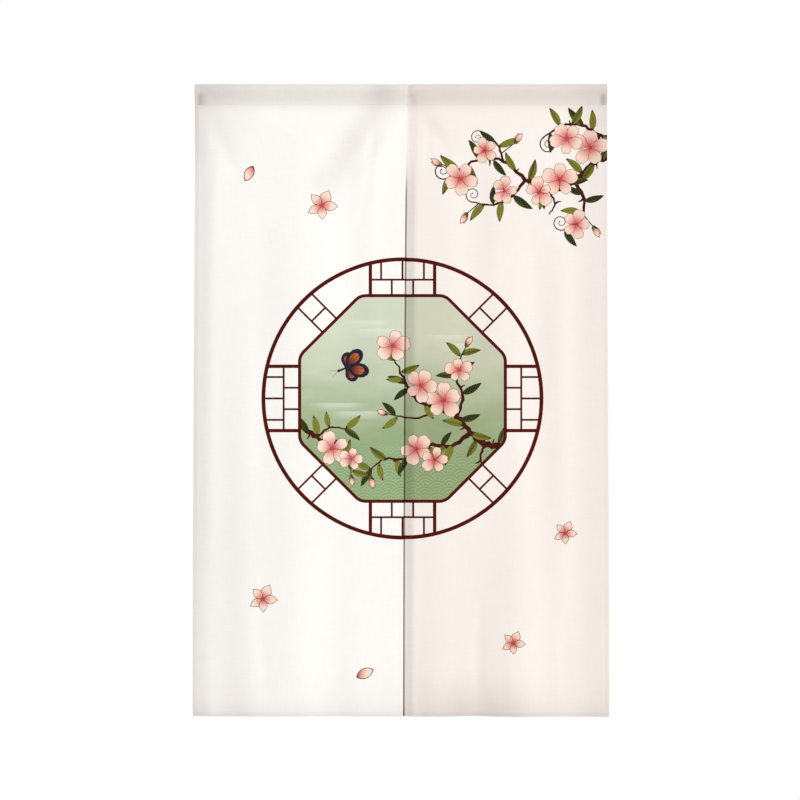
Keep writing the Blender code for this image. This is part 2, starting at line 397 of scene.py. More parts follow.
def cloth_middle(side, across, path):
    """The middle of the cloth as an array of points."""
    turn = np.clip(np.abs(path) / POCKET, 0.0, 1.0)
    upper = turn < TOP_SHARE
    bend = np.minimum(turn / TOP_SHARE, 1.0) * math.pi / 2
    below = np.clip((turn - TOP_SHARE) / (1.0 - TOP_SHARE), 0.0, 1.0)
    fall = np.where(upper, TOP_ROUND * (1.0 - np.cos(bend)), TOP_ROUND + (POCKET - TOP_ROUND) * below)
    down = np.where(path > POCKET, path, fall)
    left, right = panel_edges(side, down)
    x = left + (right - left) * across / PANEL_WIDTH

    half = pocket_half_depth(side, x)
    top = SOLID_CLOTH / 2 + nest_inset(side, x)
    seam_front = panel_middle(side, x, 0.0 * x + POCKET)
    lapped = 0.0
    if side == "left":
        tucked_edge = panel_edges("right", 0.0)[0]
        lapped = smooth(x, tucked_edge - NEST_RUN, tucked_edge - NEST_CLEAR)
    seam_back = seam_front + WALL_STEP + LAP_STEP * lapped
    drawn_in = below**WALL_BEND
    front = np.where(upper, -half * np.sin(bend), -half + (seam_front + half) * drawn_in)
    front = front + dimples(side, x, down)[0] * (path > 0.0)
    back = np.where(upper, half * np.sin(bend), half + (seam_back - half) * drawn_in)
    pocket_y = np.where(path < 0.0, back, front)
    pocket_z = -top * (1.0 - fall / POCKET) - fall
    hanging = path > POCKET
    y = np.where(hanging, panel_middle(side, x, np.maximum(path, POCKET)), pocket_y)
    z = np.where(hanging, -path, pocket_z)
    return np.stack([x, y, z], axis=-1)


def outward(side, across, path):
    """The direction in which the printed face looks at each place."""
    right = cloth_middle(side, across + STEP, path) - cloth_middle(side, across - STEP, path)
    along = cloth_middle(side, across, path + STEP) - cloth_middle(side, across, path - STEP)
    direction = np.cross(along, right)
    return direction / np.linalg.norm(direction, axis=-1, keepdims=True)


corner = cloth_middle("right", np.array([PANEL_WIDTH]), np.array([DROP]))[0]
print("the right panel's lower corner:", np.round(corner, 4))

# %% [markdown]
# A cloth has two faces, and where its edge is turned over twice and sewn it is thicker, mostly
# towards the back. The sewing pulls a thin groove along each hem and along the pocket seam, and
# that groove is what one sees of a seam from a few steps away.

# %% Thickness, hems and seam grooves
HEM_BACK = 0.0011
HEM_FRONT = 0.00015
HEM_STEP = 0.0004
SIDE_STITCH = 0.0064
BOTTOM_STITCH = 0.0078
POCKET_STITCH = 0.0012
GROOVE_DEPTH = 0.00028
GROOVE_REACH = 0.0010


def edge_distance(across):
    """How far a place is from the nearer side edge."""
    return np.minimum(across, PANEL_WIDTH - across)


def hem_share(across, path):
    """1 in the turned-over hems and 0 in the single cloth."""
    sides = 1.0 - smooth(edge_distance(across), SIDE_HEM - HEM_STEP, SIDE_HEM + HEM_STEP)
    bottom = 1.0 - smooth(DROP - path, BOTTOM_HEM - HEM_STEP, BOTTOM_HEM + HEM_STEP)
    return np.maximum(sides, bottom)


def groove(across, path):
    """How deep the sewing has pulled the surface in."""
    along_side = bell(edge_distance(across) - SIDE_STITCH, GROOVE_REACH)
    along_hem = bell(DROP - path - BOTTOM_STITCH, GROOVE_REACH)
    along_seam = bell(np.abs(path) - POCKET + POCKET_STITCH, GROOVE_REACH * 1.4)
    return GROOVE_DEPTH * np.maximum(np.maximum(along_side, along_hem), along_seam * 0.8)


def cloth_faces(side, across, path):
    """The printed face, the other face and the outward direction at each place."""
    middle, direction = cloth_middle(side, across, path), outward(side, across, path)
    hem, sewn = hem_share(across, path), groove(across, path)
    front = THREAD_CLOTH / 2 + HEM_FRONT * hem - sewn
    back = THREAD_CLOTH / 2 + HEM_BACK * hem - sewn * 0.6
    return middle + direction * front[:, None], middle - direction * back[:, None], direction


print("cloth", THREAD_CLOTH * 1000, "mm, hems", (THREAD_CLOTH + HEM_BACK + HEM_FRONT) * 1000, "mm")

# %% [markdown]
# The print is drawn on the flat cloth. One place is one complex number, x across and y up, which
# makes turning and scaling a motif a single multiplication. Each motif is an outline, an ink and
# a small frame, a root, a tip and a width, from which the material later reads how far along and
# how far across a motif a place is. Later motifs cover earlier ones, as inks do.

# %% The drawing tools
Motif = namedtuple("Motif", "ink outline root tip width tone")
drawing = []


def place(x, up):
    """A place on the flat print, given in millimetres from the middle of the top edge."""
    return (x + 1j * up) / 1000.0


def turned(degrees):
    """A quarter, a half or any turn, as a number to multiply by."""
    return complex(math.cos(math.radians(degrees)), math.sin(math.radians(degrees)))


def lay(ink, outline, root=0j, tip=1 + 0j, width=1.0, tone=0.5):
    """Adds one motif on top of those already there."""
    drawing.append(Motif(ink, np.asarray(outline, dtype=complex), root, tip, width, tone))


def disc(centre, radius, steps=28):
    """A round outline."""
    return centre + radius * np.exp(2j * math.pi * np.arange(steps) / steps)


def stroke_line(points, steps=5):
    """A smooth line through given points."""
    points = np.asarray(points, dtype=complex)
    ends = np.concatenate([[2 * points[0] - points[1]], points, [2 * points[-1] - points[-2]]])
    share = np.arange(steps) / steps
    line = []
    for before, low, high, after in zip(ends, ends[1:], ends[2:], ends[3:]):
        line.append(
            low
            + 0.5 * share * (high - before)
            + share**2 * (before - 2.5 * low + 2 * high - 0.5 * after)
            + share**3 * (1.5 * (low - high) + 0.5 * (after - before))
        )
    return np.concatenate(line + [points[-1:]])


def brush(ink, line, start, stop, tone=0.5, lumps=0.0):
    """A stroke along a line that goes from one width to another, with knots if it is wood."""
    heading = np.gradient(line)
    aside = 1j * heading / np.abs(heading)
    share = np.linspace(0.0, 1.0, len(line))
    half = (start + (stop - start) * share) / 2
    half = half * (1.0 + lumps * np.sin(share * 41.0) * np.sin(share * 17.0 + 1.0))
    outline = np.concatenate([line + aside * half, (line - aside * half)[::-1]])
    lay(ink, outline, line[0], line[-1], start, tone)


def bar(ink, start, stop, width):
    """A straight bar."""
    aside = 1j * (stop - start) / abs(stop - start) * width / 2
    lay(ink, [start - aside, stop - aside, stop + aside, start + aside], start, stop, width)


print("drawing tools ready")

# %% [markdown]
# A leaf is drawn as a printer would: a dark outline first, then its two halves a little smaller,
# one lighter than the other, with the outline's ink left showing as the midrib. The leaf bends
# along its length, so its outline is built on a curved midrib.

# %% Leaves
LEAF_STEPS = 9
LEAF_LINE = 0.00060
LEAF_RIB = 0.00038


def leaf(base, degrees, length, width, bend=0.0, tone=0.5):
    """One leaf from its base, with its tip at the given angle."""
    share = np.linspace(0.0, 1.0, LEAF_STEPS)
    rib = base + turned(degrees) * length * (share + 1j * bend * share * (share - 0.35))
    heading = np.gradient(rib)
    aside = 1j * heading / np.abs(heading)
    half = width / 2 * np.sin(math.pi * share**0.82) ** 0.85
    tip = rib[-1]
    line = LEAF_LINE * np.sin(math.pi * share) ** 0.5
    whole = np.concatenate([rib + aside * (half + line), (rib - aside * (half + line))[::-1]])
    lay("leaf_line", whole, base, tip, width / 2, tone)
    inside = slice(1, LEAF_STEPS - 1)
    thin = LEAF_RIB * (1.0 - share[inside])
    for sign in (1, -1):
        edge = rib[inside] + sign * aside[inside] * half[inside]
        middle = rib[inside] + sign * aside[inside] * thin
        lay("leaf", np.concatenate([edge, middle[::-1]]), base, tip, sign * width / 2, tone)


print("a leaf's outline has", 2 * LEAF_STEPS, "points")

# %% [markdown]
# A petal swells from its root and closes at its tip. It is laid twice, first in the brown of its
# outline and then a little smaller in its own ink, which leaves a thin line around it. Three
# shapes are used: pointed, round with a notch, and a plain lens for fallen petals. The ink has to
# know where its pink begins and where it has gone, so each petal carries both places.

# %% Petals
PETAL_STEPS = 13
PETAL_LINE = {"pointed": 0.0012, "round": 0.0008, "lens": 0.0016}
PETAL_HALF = {"pointed": 0.31, "round": 0.36, "lens": 0.28}
PETAL_MIDDLE = 0.56
FALLEN_PINK = 0.74 - 0.52j
FALLEN_PALE = -0.62 + 0.44j
FALLEN_ROOT = 0.88
FALLEN_ROOT_SIZE = 0.055


def petal_outline(kind):
    """One petal from its root at 0 to its tip at 1."""
    share = np.linspace(0.0, 1.0, PETAL_STEPS)
    if kind != "round":
        bulge = 0.80 + 0.40 * share if kind == "pointed" else 0.72
        edge = share + 1j * PETAL_HALF[kind] * np.sin(math.pi * share**0.96) ** bulge
        return np.concatenate([edge, np.conj(edge[-2:0:-1])])
    angle = np.radians(np.linspace(-148.0, 148.0, 2 * PETAL_STEPS - 3))
    notch = 1.0 - 0.20 * np.exp(-((angle / 0.24) ** 2))
    half = PETAL_HALF["round"]
    return np.concatenate([[0j], 0.60 + notch * 0.40 * np.cos(angle) + 1j * half * np.sin(angle)])


def petal(root, tip, kind, tone, width=1.0, blush_from=None, blush_to=None):
    """One petal with its outline. The blush is where its pink begins and where it has gone."""
    shape = petal_outline(kind)
    shape = shape.real + 1j * shape.imag * width
    length = abs(tip - root)
    reach = PETAL_HALF[kind] * width
    smaller = 1.0 - PETAL_LINE[kind] / length / reach
    inner = PETAL_MIDDLE + (shape - PETAL_MIDDLE) * smaller
    blush_from = root if blush_from is None else blush_from
    blush_to = tip if blush_to is None else blush_to
    lay("petal_line", root + (tip - root) * shape, root, tip, reach * length, tone)
    lay("petal", root + (tip - root) * inner, blush_from, blush_to, reach * length, tone)


def fallen_petal(middle, length, degrees):
    """A single fallen petal, pink toward its root and one side, whose dark root end shows."""
    along = turned(degrees) * length / 2
    pink, pale = middle + along * FALLEN_PINK, middle + along * FALLEN_PALE
    petal(middle + along, middle - along, "lens", 0.2, 1.0, pink, pale)
    lay("leaf_line", disc(middle + along * FALLEN_ROOT, length * FALLEN_ROOT_SIZE, 7))


print("a petal has", 2 * PETAL_STEPS - 2, "points")

# %% [markdown]
# A blossom has five petals around a crimson heart. The loose ones that lie scattered over the
# cloth have pointed petals with short crimson streaks. Those on the boughs have round petals, and
# fine threads with dark heads stand out of the heart. No two petals are alike: each blossom gets
# small differences from sines, which give the same numbers every time and need no seed.

# %% Blossoms and buds
PETALS = 5
HEART_REACHES = (0.16, 0.08)
STREAK_SPREADS = {"pointed": (-17.0, 0.0, 17.0), "round": ()}
STREAK_FROM = 0.12
STREAK_TO = 0.45
STREAK_WIDTH = 0.00055
BLUSH_BEHIND = {"pointed": 0.12, "round": 0.0}
THREAD_COUNT = {"pointed": 0, "round": 7}
THREAD_TURN = 51.4
THREAD_REACH = 0.36
THREAD_WIDTH = 0.0005
ANTHER_RADIUS = 0.00075


def blossom(centre, radius, turn=0.0, kind="round", tone=0.5, angles=None, sizes=None, squash=1.0):
    """Five petals with their streaks, the heart and its threads."""
    numbers = range(PETALS)
    angles = angles or [turn + 360.0 / PETALS * i + 5.0 * math.sin(3.1 * i + turn) for i in numbers]
    sizes = sizes or [1.0 + 0.07 * math.sin(2.3 * i + 0.2 * turn) for i in numbers]
    lean = turned(turn)
    for i in (3, 1, 4, 2, 0):
        away = turned(angles[i]) * radius * sizes[i] / lean
        away = (away.real * squash + 1j * away.imag) * lean
        width = 1.0 + 0.10 * math.sin(1.7 * i + turn)
        shade = tone + 0.25 * math.sin(2.1 * i + turn)
        petal(centre, centre + away, kind, shade, width, centre - away * BLUSH_BEHIND[kind])
        for spread in STREAK_SPREADS[kind]:
            streak = away * turned(spread)
            bar("heart", centre + streak * STREAK_FROM, centre + streak * STREAK_TO, STREAK_WIDTH)
    points = np.arange(2 * PETALS)
    reaches = radius * np.where(points % 2 == 0, *HEART_REACHES)
    star = reaches * np.exp(1j * math.pi * points / PETALS)
    lay("heart", centre + star * turned(angles[0]), centre, centre + radius, radius, tone)
    for i in range(THREAD_COUNT[kind]):
        spread = turned(turn + i * THREAD_TURN + 8.0 * math.sin(i))
        end = centre + spread * radius * (THREAD_REACH + 0.06 * math.sin(4.0 * i))
        bar("heart", centre, end, THREAD_WIDTH)
        lay("anther", disc(end, ANTHER_RADIUS, 6))


def bud(base, degrees, length, stalk, tone=0.3):
    """A closed bud with its green cup, on a thin stalk that comes from a twig."""
    tip = base + turned(degrees) * length
    brush("leaf_line", stroke_line([stalk, base + (tip - base) * 0.10]), 0.0026, 0.0019)
    petal(base, base + (tip - base) * 0.88 * turned(15.0), "pointed", tone + 0.3, 0.66)
    petal(base, tip, "pointed", tone, 0.72)
    leaf(base - (tip - base) * 0.05, degrees + 22.0, length * 0.42, length * 0.15, 0.1, 0.8)
    leaf(base - (tip - base) * 0.05, degrees - 22.0, length * 0.42, length * 0.15, -0.1, 0.3)


print("blossoms of", PETALS, "petals in two kinds")

# %% [markdown]
# The loose blossoms and petals lie where the photograph has them. Their places are read from it
# once, in pixels, and turned into places on the cloth. The four blossoms are one motif in
# several sizes, so one table of petal angles serves them all.

# %% Scattered blossoms and petals
Scattered = namedtuple("Scattered", "pixel_x pixel_y pixel_radius")
Fallen = namedtuple("Fallen", "pixel_x pixel_y pixel_length degrees")
LOOSE_BLOSSOMS = (
    Scattered(322.0, 205.5, 15.6),
    Scattered(263.0, 599.0, 14.6),
    Scattered(565.0, 533.0, 12.2),
    Scattered(513.0, 643.0, 12.2),
)
FALLEN_PETALS = (
    Fallen(249.2, 173.6, 17.5, 61.0),
    Fallen(365.0, 673.2, 19.0, 205.0),
)
LOOSE_ANGLES = (-4.0, 65.0, 135.0, 209.0, 272.0)
LOOSE_SIZES = (1.05, 1.10, 1.00, 1.04, 0.93)


def from_pixel(x, y):
    """A place in the photograph as a place on the print."""
    return ((x - MIDDLE_PIXEL) - 1j * (y - TOP_EDGE_PIXEL)) * PIXEL


for spot in LOOSE_BLOSSOMS:
    blossom(
        from_pixel(spot.pixel_x, spot.pixel_y),
        spot.pixel_radius * PIXEL,
        kind="pointed",
        tone=0.35,
        angles=LOOSE_ANGLES,
        sizes=LOOSE_SIZES,
    )
for spot in FALLEN_PETALS:
    middle = from_pixel(spot.pixel_x, spot.pixel_y)
    fallen_petal(middle, spot.pixel_length * PIXEL, spot.degrees)
print("scattered motifs:", len(drawing), "outlines")

# %% [markdown]
# The large medallion is a round lattice window, a common ornament, here with an eight-sided
# opening. A ring or a frame is a band between two outlines. What is seen through the window is
# laid first, then a band of bare cloth that hides all that reaches past the opening, and the bars
# and rings come last. So nothing needs an exact end.

# %% The window's opening
MEDALLION = place(3.1, -645.9)
RING_RADIUS = 0.2898
RING_WIDTH = 0.0080
WINDOW = 0.2080
WINDOW_FRAME = 0.0066
WINDOW_CORNER = 0.0260
RING_STEPS = 168


def octagon(centre, apothem, corner, steps=5):
    """An eight-sided outline with rounded corners."""
    outline = []
    inner = (apothem - corner) / math.cos(math.pi / 8)
    for i in range(8):
        middle = 22.5 + 45.0 * i
        for step in range(steps + 1):
            degrees = middle + (step / steps - 0.5) * 45.0
            outline.append(centre + turned(middle) * inner + turned(degrees) * corner)
    return outline


def hoop(ink, outer, inner):
    """A closed band between two outlines, joined by a cut that has no width."""
    outer, inner = np.asarray(outer), np.asarray(inner)
    lay(ink, np.concatenate([outer, outer[:1], inner[:1], inner[:0:-1], inner[:1]]))


opening = octagon(MEDALLION, WINDOW, WINDOW_CORNER)
lay("field", octagon(MEDALLION, WINDOW + WINDOW_FRAME / 2, WINDOW_CORNER))
print("the window's opening is", WINDOW * 2, "m across")

# %% [markdown]
# Bands of mist are long bars with round ends that lie over each other in steps. They are an old
# way to fill the ground of a pattern, and they need nothing but straight runs and half circles.

# %% Mist bands
MIST_HALF = 0.0085


def mist(x, up, length, tone):
    """One band of mist, from its left end."""
    start, stop = MEDALLION + place(x, up), MEDALLION + place(x + length, up)
    arc = np.exp(1j * np.radians(np.linspace(90.0, 270.0, 9)))
    outline = np.concatenate([start + MIST_HALF * arc, stop - MIST_HALF * arc])
    root = (start + stop) / 2 - 1j * MIST_HALF
    lay("mist", outline, root, root + 2j * MIST_HALF, abs(stop - start) / 2, tone)


mist(-118, 152, 96, 0.55)
mist(-104, 135, 120, 0.75)
mist(44, 122, 104, 0.60)
mist(70, 105, 84, 0.80)
mist(-186, -18, 110, 0.45)
mist(-152, -35, 126, 0.60)
print("mist bands laid")

# %% [markdown]
# Two sprays grow into the window from its lower right and its left. A bough is a brush stroke along a
# few given points, thick at its root and thin at its tip. It isn't smooth: it swells at its knots,
# and its line jerks to one side and back, as old wood does. Spurs are short bare twigs. Leaves come
# next and blossoms last, so that they lie in front.

# %% Boughs, spurs and leaves
CROOK = 0.16
KNOTS = 0.20


def bough(anchor, points, start, stop, tone=0.5):
    """A woody stroke through points given in millimetres from an anchor."""
    line = stroke_line([anchor + place(x, up) for x, up in points])
    heading = np.gradient(line)
    jerk = start * CROOK * np.sin(2.6 * np.arange(len(line)))
    jerk[[0, -1]] = 0.0
    line = line + 1j * heading / np.abs(heading) * jerk
    brush("leaf_line", line, start + 0.0010, stop + 0.0007, lumps=KNOTS)
    brush("bough", line, start, stop, tone, KNOTS)


def spurs(anchor, rows):
    """Short bare twigs from rows of x, up, angle and length."""
    for x, up, degrees, length in rows:
        base = anchor + place(x, up)
        away = turned(degrees) * length / 1000
        line = stroke_line([base, base + away * (0.5 + 0.10j), base + away], 3)
        brush("bough", line, 0.0044 + length / 12000, 0.0017)


def leaves(anchor, rows):
    """Leaves from rows of x, up, angle, length and bend, in millimetres and degrees."""
    for i, (x, up, degrees, length, bend) in enumerate(rows):
        tone = 0.5 + 0.6 * math.sin(2.7 * i + 0.4)
        leaf(anchor + place(x, up), degrees, length / 1000, length / 1000 * 0.30, bend, tone)


print("boughs swell by", KNOTS, "at their knots")

# %% [markdown]
# The boughs run through points listed in millimetres from the window's middle, and each side twig
# begins at a point of the bough that carries it. Leaves sit on the boughs too, each at its own angle.
# Short tables suit this best, because a formula would give every bough one gait.

# %% The sprays in the window
RIGHT_BOUGH = (
    (236, -100), (206, -98), (170, -94), (140, -70), (112, -38), (70, -20), (30, -4), (6, 34),
    (-18, 84),
)
LOW_BOUGH = ((140, -70), (100, -98), (52, -96), (6, -124), (-36, -124), (-66, -146))
UP_BOUGH = ((112, -38), (124, 6), (108, 48), (122, 92))
LEFT_BOUGH = ((-232, -50), (-206, -60), (-176, -80), (-152, -98), (-120, -122), (-106, -146))
bough(MEDALLION, RIGHT_BOUGH, 0.0150, 0.0032)
bough(MEDALLION, LOW_BOUGH, 0.0082, 0.0024)
bough(MEDALLION, UP_BOUGH, 0.0066, 0.0022)
bough(MEDALLION, ((70, -20), (34, -40), (-14, -36)), 0.0050, 0.0018)
bough(MEDALLION, ((170, -94), (160, -120), (168, -146)), 0.0056, 0.0016)
bough(MEDALLION, LEFT_BOUGH, 0.0112, 0.0024)
bough(MEDALLION, ((-176, -80), (-150, -60), (-118, -62)), 0.0046, 0.0018)
spurs(
    MEDALLION,
    (
        (162, -126, -150, 15), (186, -96, 78, 13), (128, -58, -150, 12), (92, -26, 104, 11),
        (76, -98, -96, 15), (20, -114, 60, 12), (118, 20, 36, 13), (18, 14, -30, 12),
        (-190, -70, -116, 15), (-164, -88, 74, 12), (-18, -126, -64, 12),
    ),
)
leaves(
    MEDALLION,
    (
        (196, -92, 58, 44, 0.2), (152, -84, -112, 42, -0.2), (126, -56, 158, 46, 0.25),
        (118, -44, 8, 44, 0.2), (104, -94, -118, 48, 0.2), (80, -98, 62, 36, -0.2),
        (54, -98, -62, 46, 0.2), (28, -110, 96, 36, 0.2), (-32, -126, 150, 44, -0.2),
        (-64, -146, 158, 42, -0.2), (-62, -146, -132, 42, 0.25), (-10, -124, -88, 38, 0.2),
        (122, 10, 22, 46, 0.2), (120, 0, 164, 38, -0.25), (110, 46, 172, 42, 0.2),
        (120, 90, 20, 42, -0.2), (119, 86, 128, 42, 0.2), (111, 62, 12, 40, 0.2),
        (46, -12, -66, 36, 0.2), (-14, -36, 128, 40, 0.2), (-10, -38, -136, 40, -0.2),
        (-18, 84, 52, 46, 0.2), (-15, 78, 148, 44, -0.25), (-4, 54, 14, 42, 0.2),
        (8, 30, 152, 42, 0.2), (-176, -78, 92, 44, 0.2), (-192, -68, 130, 36, -0.2),
        (-118, -62, 34, 42, 0.2), (-120, -63, -28, 40, -0.2), (-104, -148, -22, 38, 0.2),
        (-124, -120, 58, 40, 0.2), (-164, -92, 12, 36, -0.2), (-150, -60, 108, 34, -0.2),
        (14, 20, -150, 40, 0.2), (2, 40, -172, 36, -0.2), (60, -18, 98, 34, 0.2),
        (140, -72, -20, 44, 0.2), (90, -97, -140, 40, -0.2), (12, -122, -128, 42, 0.2),
        (-48, -134, -84, 36, 0.2),
    ),
)
print("window:", len(drawing), "outlines so far")

# %% [markdown]
# The blossoms sit in pairs, a large one in front of a smaller one, and a few buds stand out on
# stalks of their own. A blossom that is squashed is seen a little from the side.

# %% Blossoms and buds in the window
bud(MEDALLION + place(-66, -160), -76, 0.027, MEDALLION + place(-63, -144))
bud(MEDALLION + place(130, 106), 58, 0.027, MEDALLION + place(122, 90))
bud(MEDALLION + place(-30, -32), 162, 0.025, MEDALLION + place(-8, -37))
bud(MEDALLION + place(-106, -158), -82, 0.024, MEDALLION + place(-106, -140))
blossom(MEDALLION + place(84, -4), 0.0395, 20, tone=0.45)
blossom(MEDALLION + place(38, 26), 0.0350, 64, tone=0.65)
blossom(MEDALLION + place(116, 58), 0.0310, 95, tone=0.35, squash=0.8)
blossom(MEDALLION + place(-20, 108), 0.0360, 8, tone=0.55)
blossom(MEDALLION + place(28, -104), 0.0340, 40, tone=0.50)
blossom(MEDALLION + place(66, -126), 0.0290, 80, tone=0.30)
blossom(MEDALLION + place(-144, -102), 0.0355, 30, tone=0.45)
blossom(MEDALLION + place(-106, -124), 0.0280, 75, tone=0.65, squash=0.82)
print("window:", len(drawing), "outlines with its blossoms")

# %% [markdown]
# A butterfly sits in the free part of the window. Each wing is a dark outline with a warm patch
# inside it and a few dark veins, and the body is a short stroke with two feelers.

# %% Butterfly
BUTTERFLY = MEDALLION + place(-118, 62)
BUTTERFLY_LEAN = 24.0


def wing(degrees, length, breadth, patch):
    """One wing: a rounded fan, and a smaller warm patch inside it."""
    angle = np.radians(np.linspace(-150.0, 150.0, 19))
    fan = np.concatenate([[0j], 0.58 + 0.42 * np.cos(angle) + 1j * breadth * np.sin(angle)])
    away = turned(BUTTERFLY_LEAN + degrees) * length
    lay("wing", BUTTERFLY + away * fan, BUTTERFLY, BUTTERFLY + away, length * breadth)
    middle = 0.50
    warm = middle + (fan - middle) * patch
    lay("wing_patch", BUTTERFLY + away * warm, BUTTERFLY, BUTTERFLY + away, length * breadth)
    for spread in (-17.0, -5.0, 8.0, 20.0):
        bar("wing", BUTTERFLY, BUTTERFLY + away * turned(spread) * 0.86, 0.0009)


for mirrored in (1.0, -1.0):
    wing(mirrored * 62.0 - 8.0, 0.034, 0.36, 0.52)
    wing(mirrored * 28.0 - 4.0, 0.050, 0.30, 0.60)
heading_line = turned(BUTTERFLY_LEAN + 178.0)
body_ends = [BUTTERFLY + heading_line * p for p in (-0.026, 0.0, 0.012)]
body_line = stroke_line(body_ends)
brush("wing", body_line, 0.0030, 0.0044)
lay("wing", disc(BUTTERFLY + heading_line * 0.014, 0.0030, 12))
for lean in (-1.0, 1.0):
    feeler = [0.015, 0.022 + 0.003j * lean, 0.031 + 0.008j * lean]
    brush("wing", stroke_line([BUTTERFLY + heading_line * p for p in feeler]), 0.0008, 0.0005)
print("butterfly at", round(BUTTERFLY.real, 3), round(BUTTERFLY.imag, 3))

# %% [markdown]
# Now the bare band covers what reaches past the opening. On it lie the bars: groups of thick
# ones above, below and beside the window, with thin ones between them like brickwork, and thin
# ones alone at the corners. A bar runs under the ring and the frame, which are laid over it.

# %% The lattice, the ring and the frame
THIN_BAR = 0.0041
THICK_BAR = 0.0070
SECOND_LINE = 0.2440
WIDE_POSTS = 0.0660
CORNER_POSTS = 0.0200
UPPER_BRICKS = (-0.0440, 0.0, 0.0440)
LOWER_BRICKS = (-0.0220, 0.0220)
UNDER_RING = RING_RADIUS - RING_WIDTH / 2


def spoke(facing, aside, start, width):
    """A bar from a line beside the window out to the ring."""
    reach = math.sqrt(UNDER_RING**2 - aside**2)
    ends = [MEDALLION + facing * (out + 1j * aside) for out in (start, reach)]
    bar("red", ends[0], ends[1], width)


def crossbar(facing, half):
    """A bar along the window's side, halfway out."""
    ends = [MEDALLION + facing * (SECOND_LINE + 1j * aside) for aside in (-half, half)]
    bar("red", ends[0], ends[1], THIN_BAR)


hoop("bare", disc(MEDALLION, UNDER_RING, RING_STEPS), opening)
for side_number in range(8):
    facing = turned(45.0 * side_number)
    at_corner = side_number % 2 == 1
    posts = CORNER_POSTS if at_corner else WIDE_POSTS
    for aside in (-posts, posts):
        spoke(facing, aside, WINDOW, THIN_BAR if at_corner else THICK_BAR)
    crossbar(facing, posts)
    if not at_corner:
        for aside in UPPER_BRICKS:
            spoke(facing, aside, SECOND_LINE, THIN_BAR)
        for aside in LOWER_BRICKS:
            stop = MEDALLION + facing * (SECOND_LINE + 1j * aside)
            bar("red", MEDALLION + facing * (WINDOW + 1j * aside), stop, THIN_BAR)
ring_inside = disc(MEDALLION, RING_RADIUS - RING_WIDTH, RING_STEPS)
hoop("red", disc(MEDALLION, RING_RADIUS, RING_STEPS), ring_inside)
hoop("red", octagon(MEDALLION, WINDOW + WINDOW_FRAME, WINDOW_CORNER + WINDOW_FRAME), opening)
print("medallion", RING_RADIUS * 2, "m across")

# %% [markdown]
# In the upper right corner a climbing plant arches in from the side edge. Scrolls that end in
# spirals are a classic textile ornament, and a spiral is a formula: its radius shrinks evenly
# while it turns. The stems run past the edge, where the cloth was cut after printing.

# %% The climbing plant
TOP_MIDDLE = place(0, 0)


def tendril(start, degrees, radius, turns, width, sign=1.0):
    """A spiral that begins at a stem, in the direction of the angle."""
    share = np.linspace(0.0, 1.0, int(16 * turns) + 4)
    spin = sign * 2 * math.pi * turns * share
    centre = start + 1j * sign * turned(degrees) * radius
    line = centre + (start - centre) * (1.0 - 0.82 * share) * np.exp(1j * spin)
    brush("bough", line, width, width * 0.45)
    lay("bough", disc(line[-1], width * 0.62, 8))


MAIN_STEM = (
    (436, -150), (398, -160), (356, -200), (304, -218), (256, -196), (210, -158), (156, -156),
    (100, -190),
)
bough(TOP_MIDDLE, MAIN_STEM, 0.0120, 0.0030)
bough(TOP_MIDDLE, ((356, -200), (376, -236), (368, -276), (334, -300)), 0.0068, 0.0024)
bough(TOP_MIDDLE, ((436, -112), (404, -104), (372, -84), (330, -86), (290, -112)), 0.0086, 0.0026)
bough(TOP_MIDDLE, ((256, -196), (228, -230), (190, -248), (144, -242)), 0.0056, 0.0022)
bough(TOP_MIDDLE, ((210, -158), (198, -124), (168, -100)), 0.0046, 0.0020)
bough(TOP_MIDDLE, ((436, -112), (414, -128), (404, -104)), 0.0060, 0.0040)
bough(TOP_MIDDLE, ((304, -218), (316, -246), (304, -268)), 0.0046, 0.0014)
spurs(
    TOP_MIDDLE,
    (
        (316, -246, 20, 14), (398, -160, -72, 15), (376, -180, 168, 12), (330, -210, 62, 12),
        (256, -196, -58, 13), (236, -182, 52, 11), (182, -156, -92, 12), (374, -236, -150, 12),
        (388, -96, -128, 14), (350, -84, 112, 11), (206, -240, 62, 11),
    ),
)
tendril(place(100, -190), -130, 0.019, 1.5, 0.0030, -1.0)
tendril(place(334, -300), -160, 0.017, 1.4, 0.0025, -1.0)
tendril(place(290, -112), -135, 0.018, 1.5, 0.0028, 1.0)
tendril(place(144, -242), 165, 0.016, 1.4, 0.0024, -1.0)
tendril(place(168, -100), 130, 0.015, 1.4, 0.0022, 1.0)
leaves(
    TOP_MIDDLE,
    (
        (410, -156, 60, 46, 0.2), (396, -162, -118, 48, -0.2), (372, -184, 128, 46, 0.25),
        (376, -240, 8, 42, 0.2), (371, -264, 168, 44, 0.2), (374, -226, 162, 40, -0.2),
        (322, -214, 78, 44, 0.2), (280, -210, -66, 50, -0.2), (262, -200, 66, 48, 0.2),
        (236, -178, 128, 44, -0.25), (230, -228, -42, 50, 0.2), (208, -240, -104, 44, 0.2),
        (190, -248, 96, 40, -0.2), (172, -246, -138, 46, 0.2), (162, -156, 112, 48, 0.2),
        (138, -164, -72, 46, 0.2), (120, -176, 150, 50, -0.2), (190, -156, -58, 42, 0.2),
        (200, -128, 18, 44, 0.2), (194, -118, 152, 40, -0.2), (392, -96, 82, 44, 0.2),
        (376, -86, 138, 50, -0.2), (350, -84, 52, 46, 0.25), (326, -87, 112, 44, 0.2),
        (306, -100, -82, 42, -0.2), (414, -106, -52, 40, 0.2), (336, -298, -62, 44, 0.2),
        (300, -218, -118, 44, 0.2), (346, -206, 20, 40, -0.2), (104, -188, -122, 44, 0.2),
    ),
)
bud(place(136, -264), -122, 0.028, place(160, -245))
bud(place(84, -168), 146, 0.028, place(110, -184))
bud(place(234, -122), 54, 0.027, place(204, -144))
bud(place(394, -292), -60, 0.028, place(371, -264))
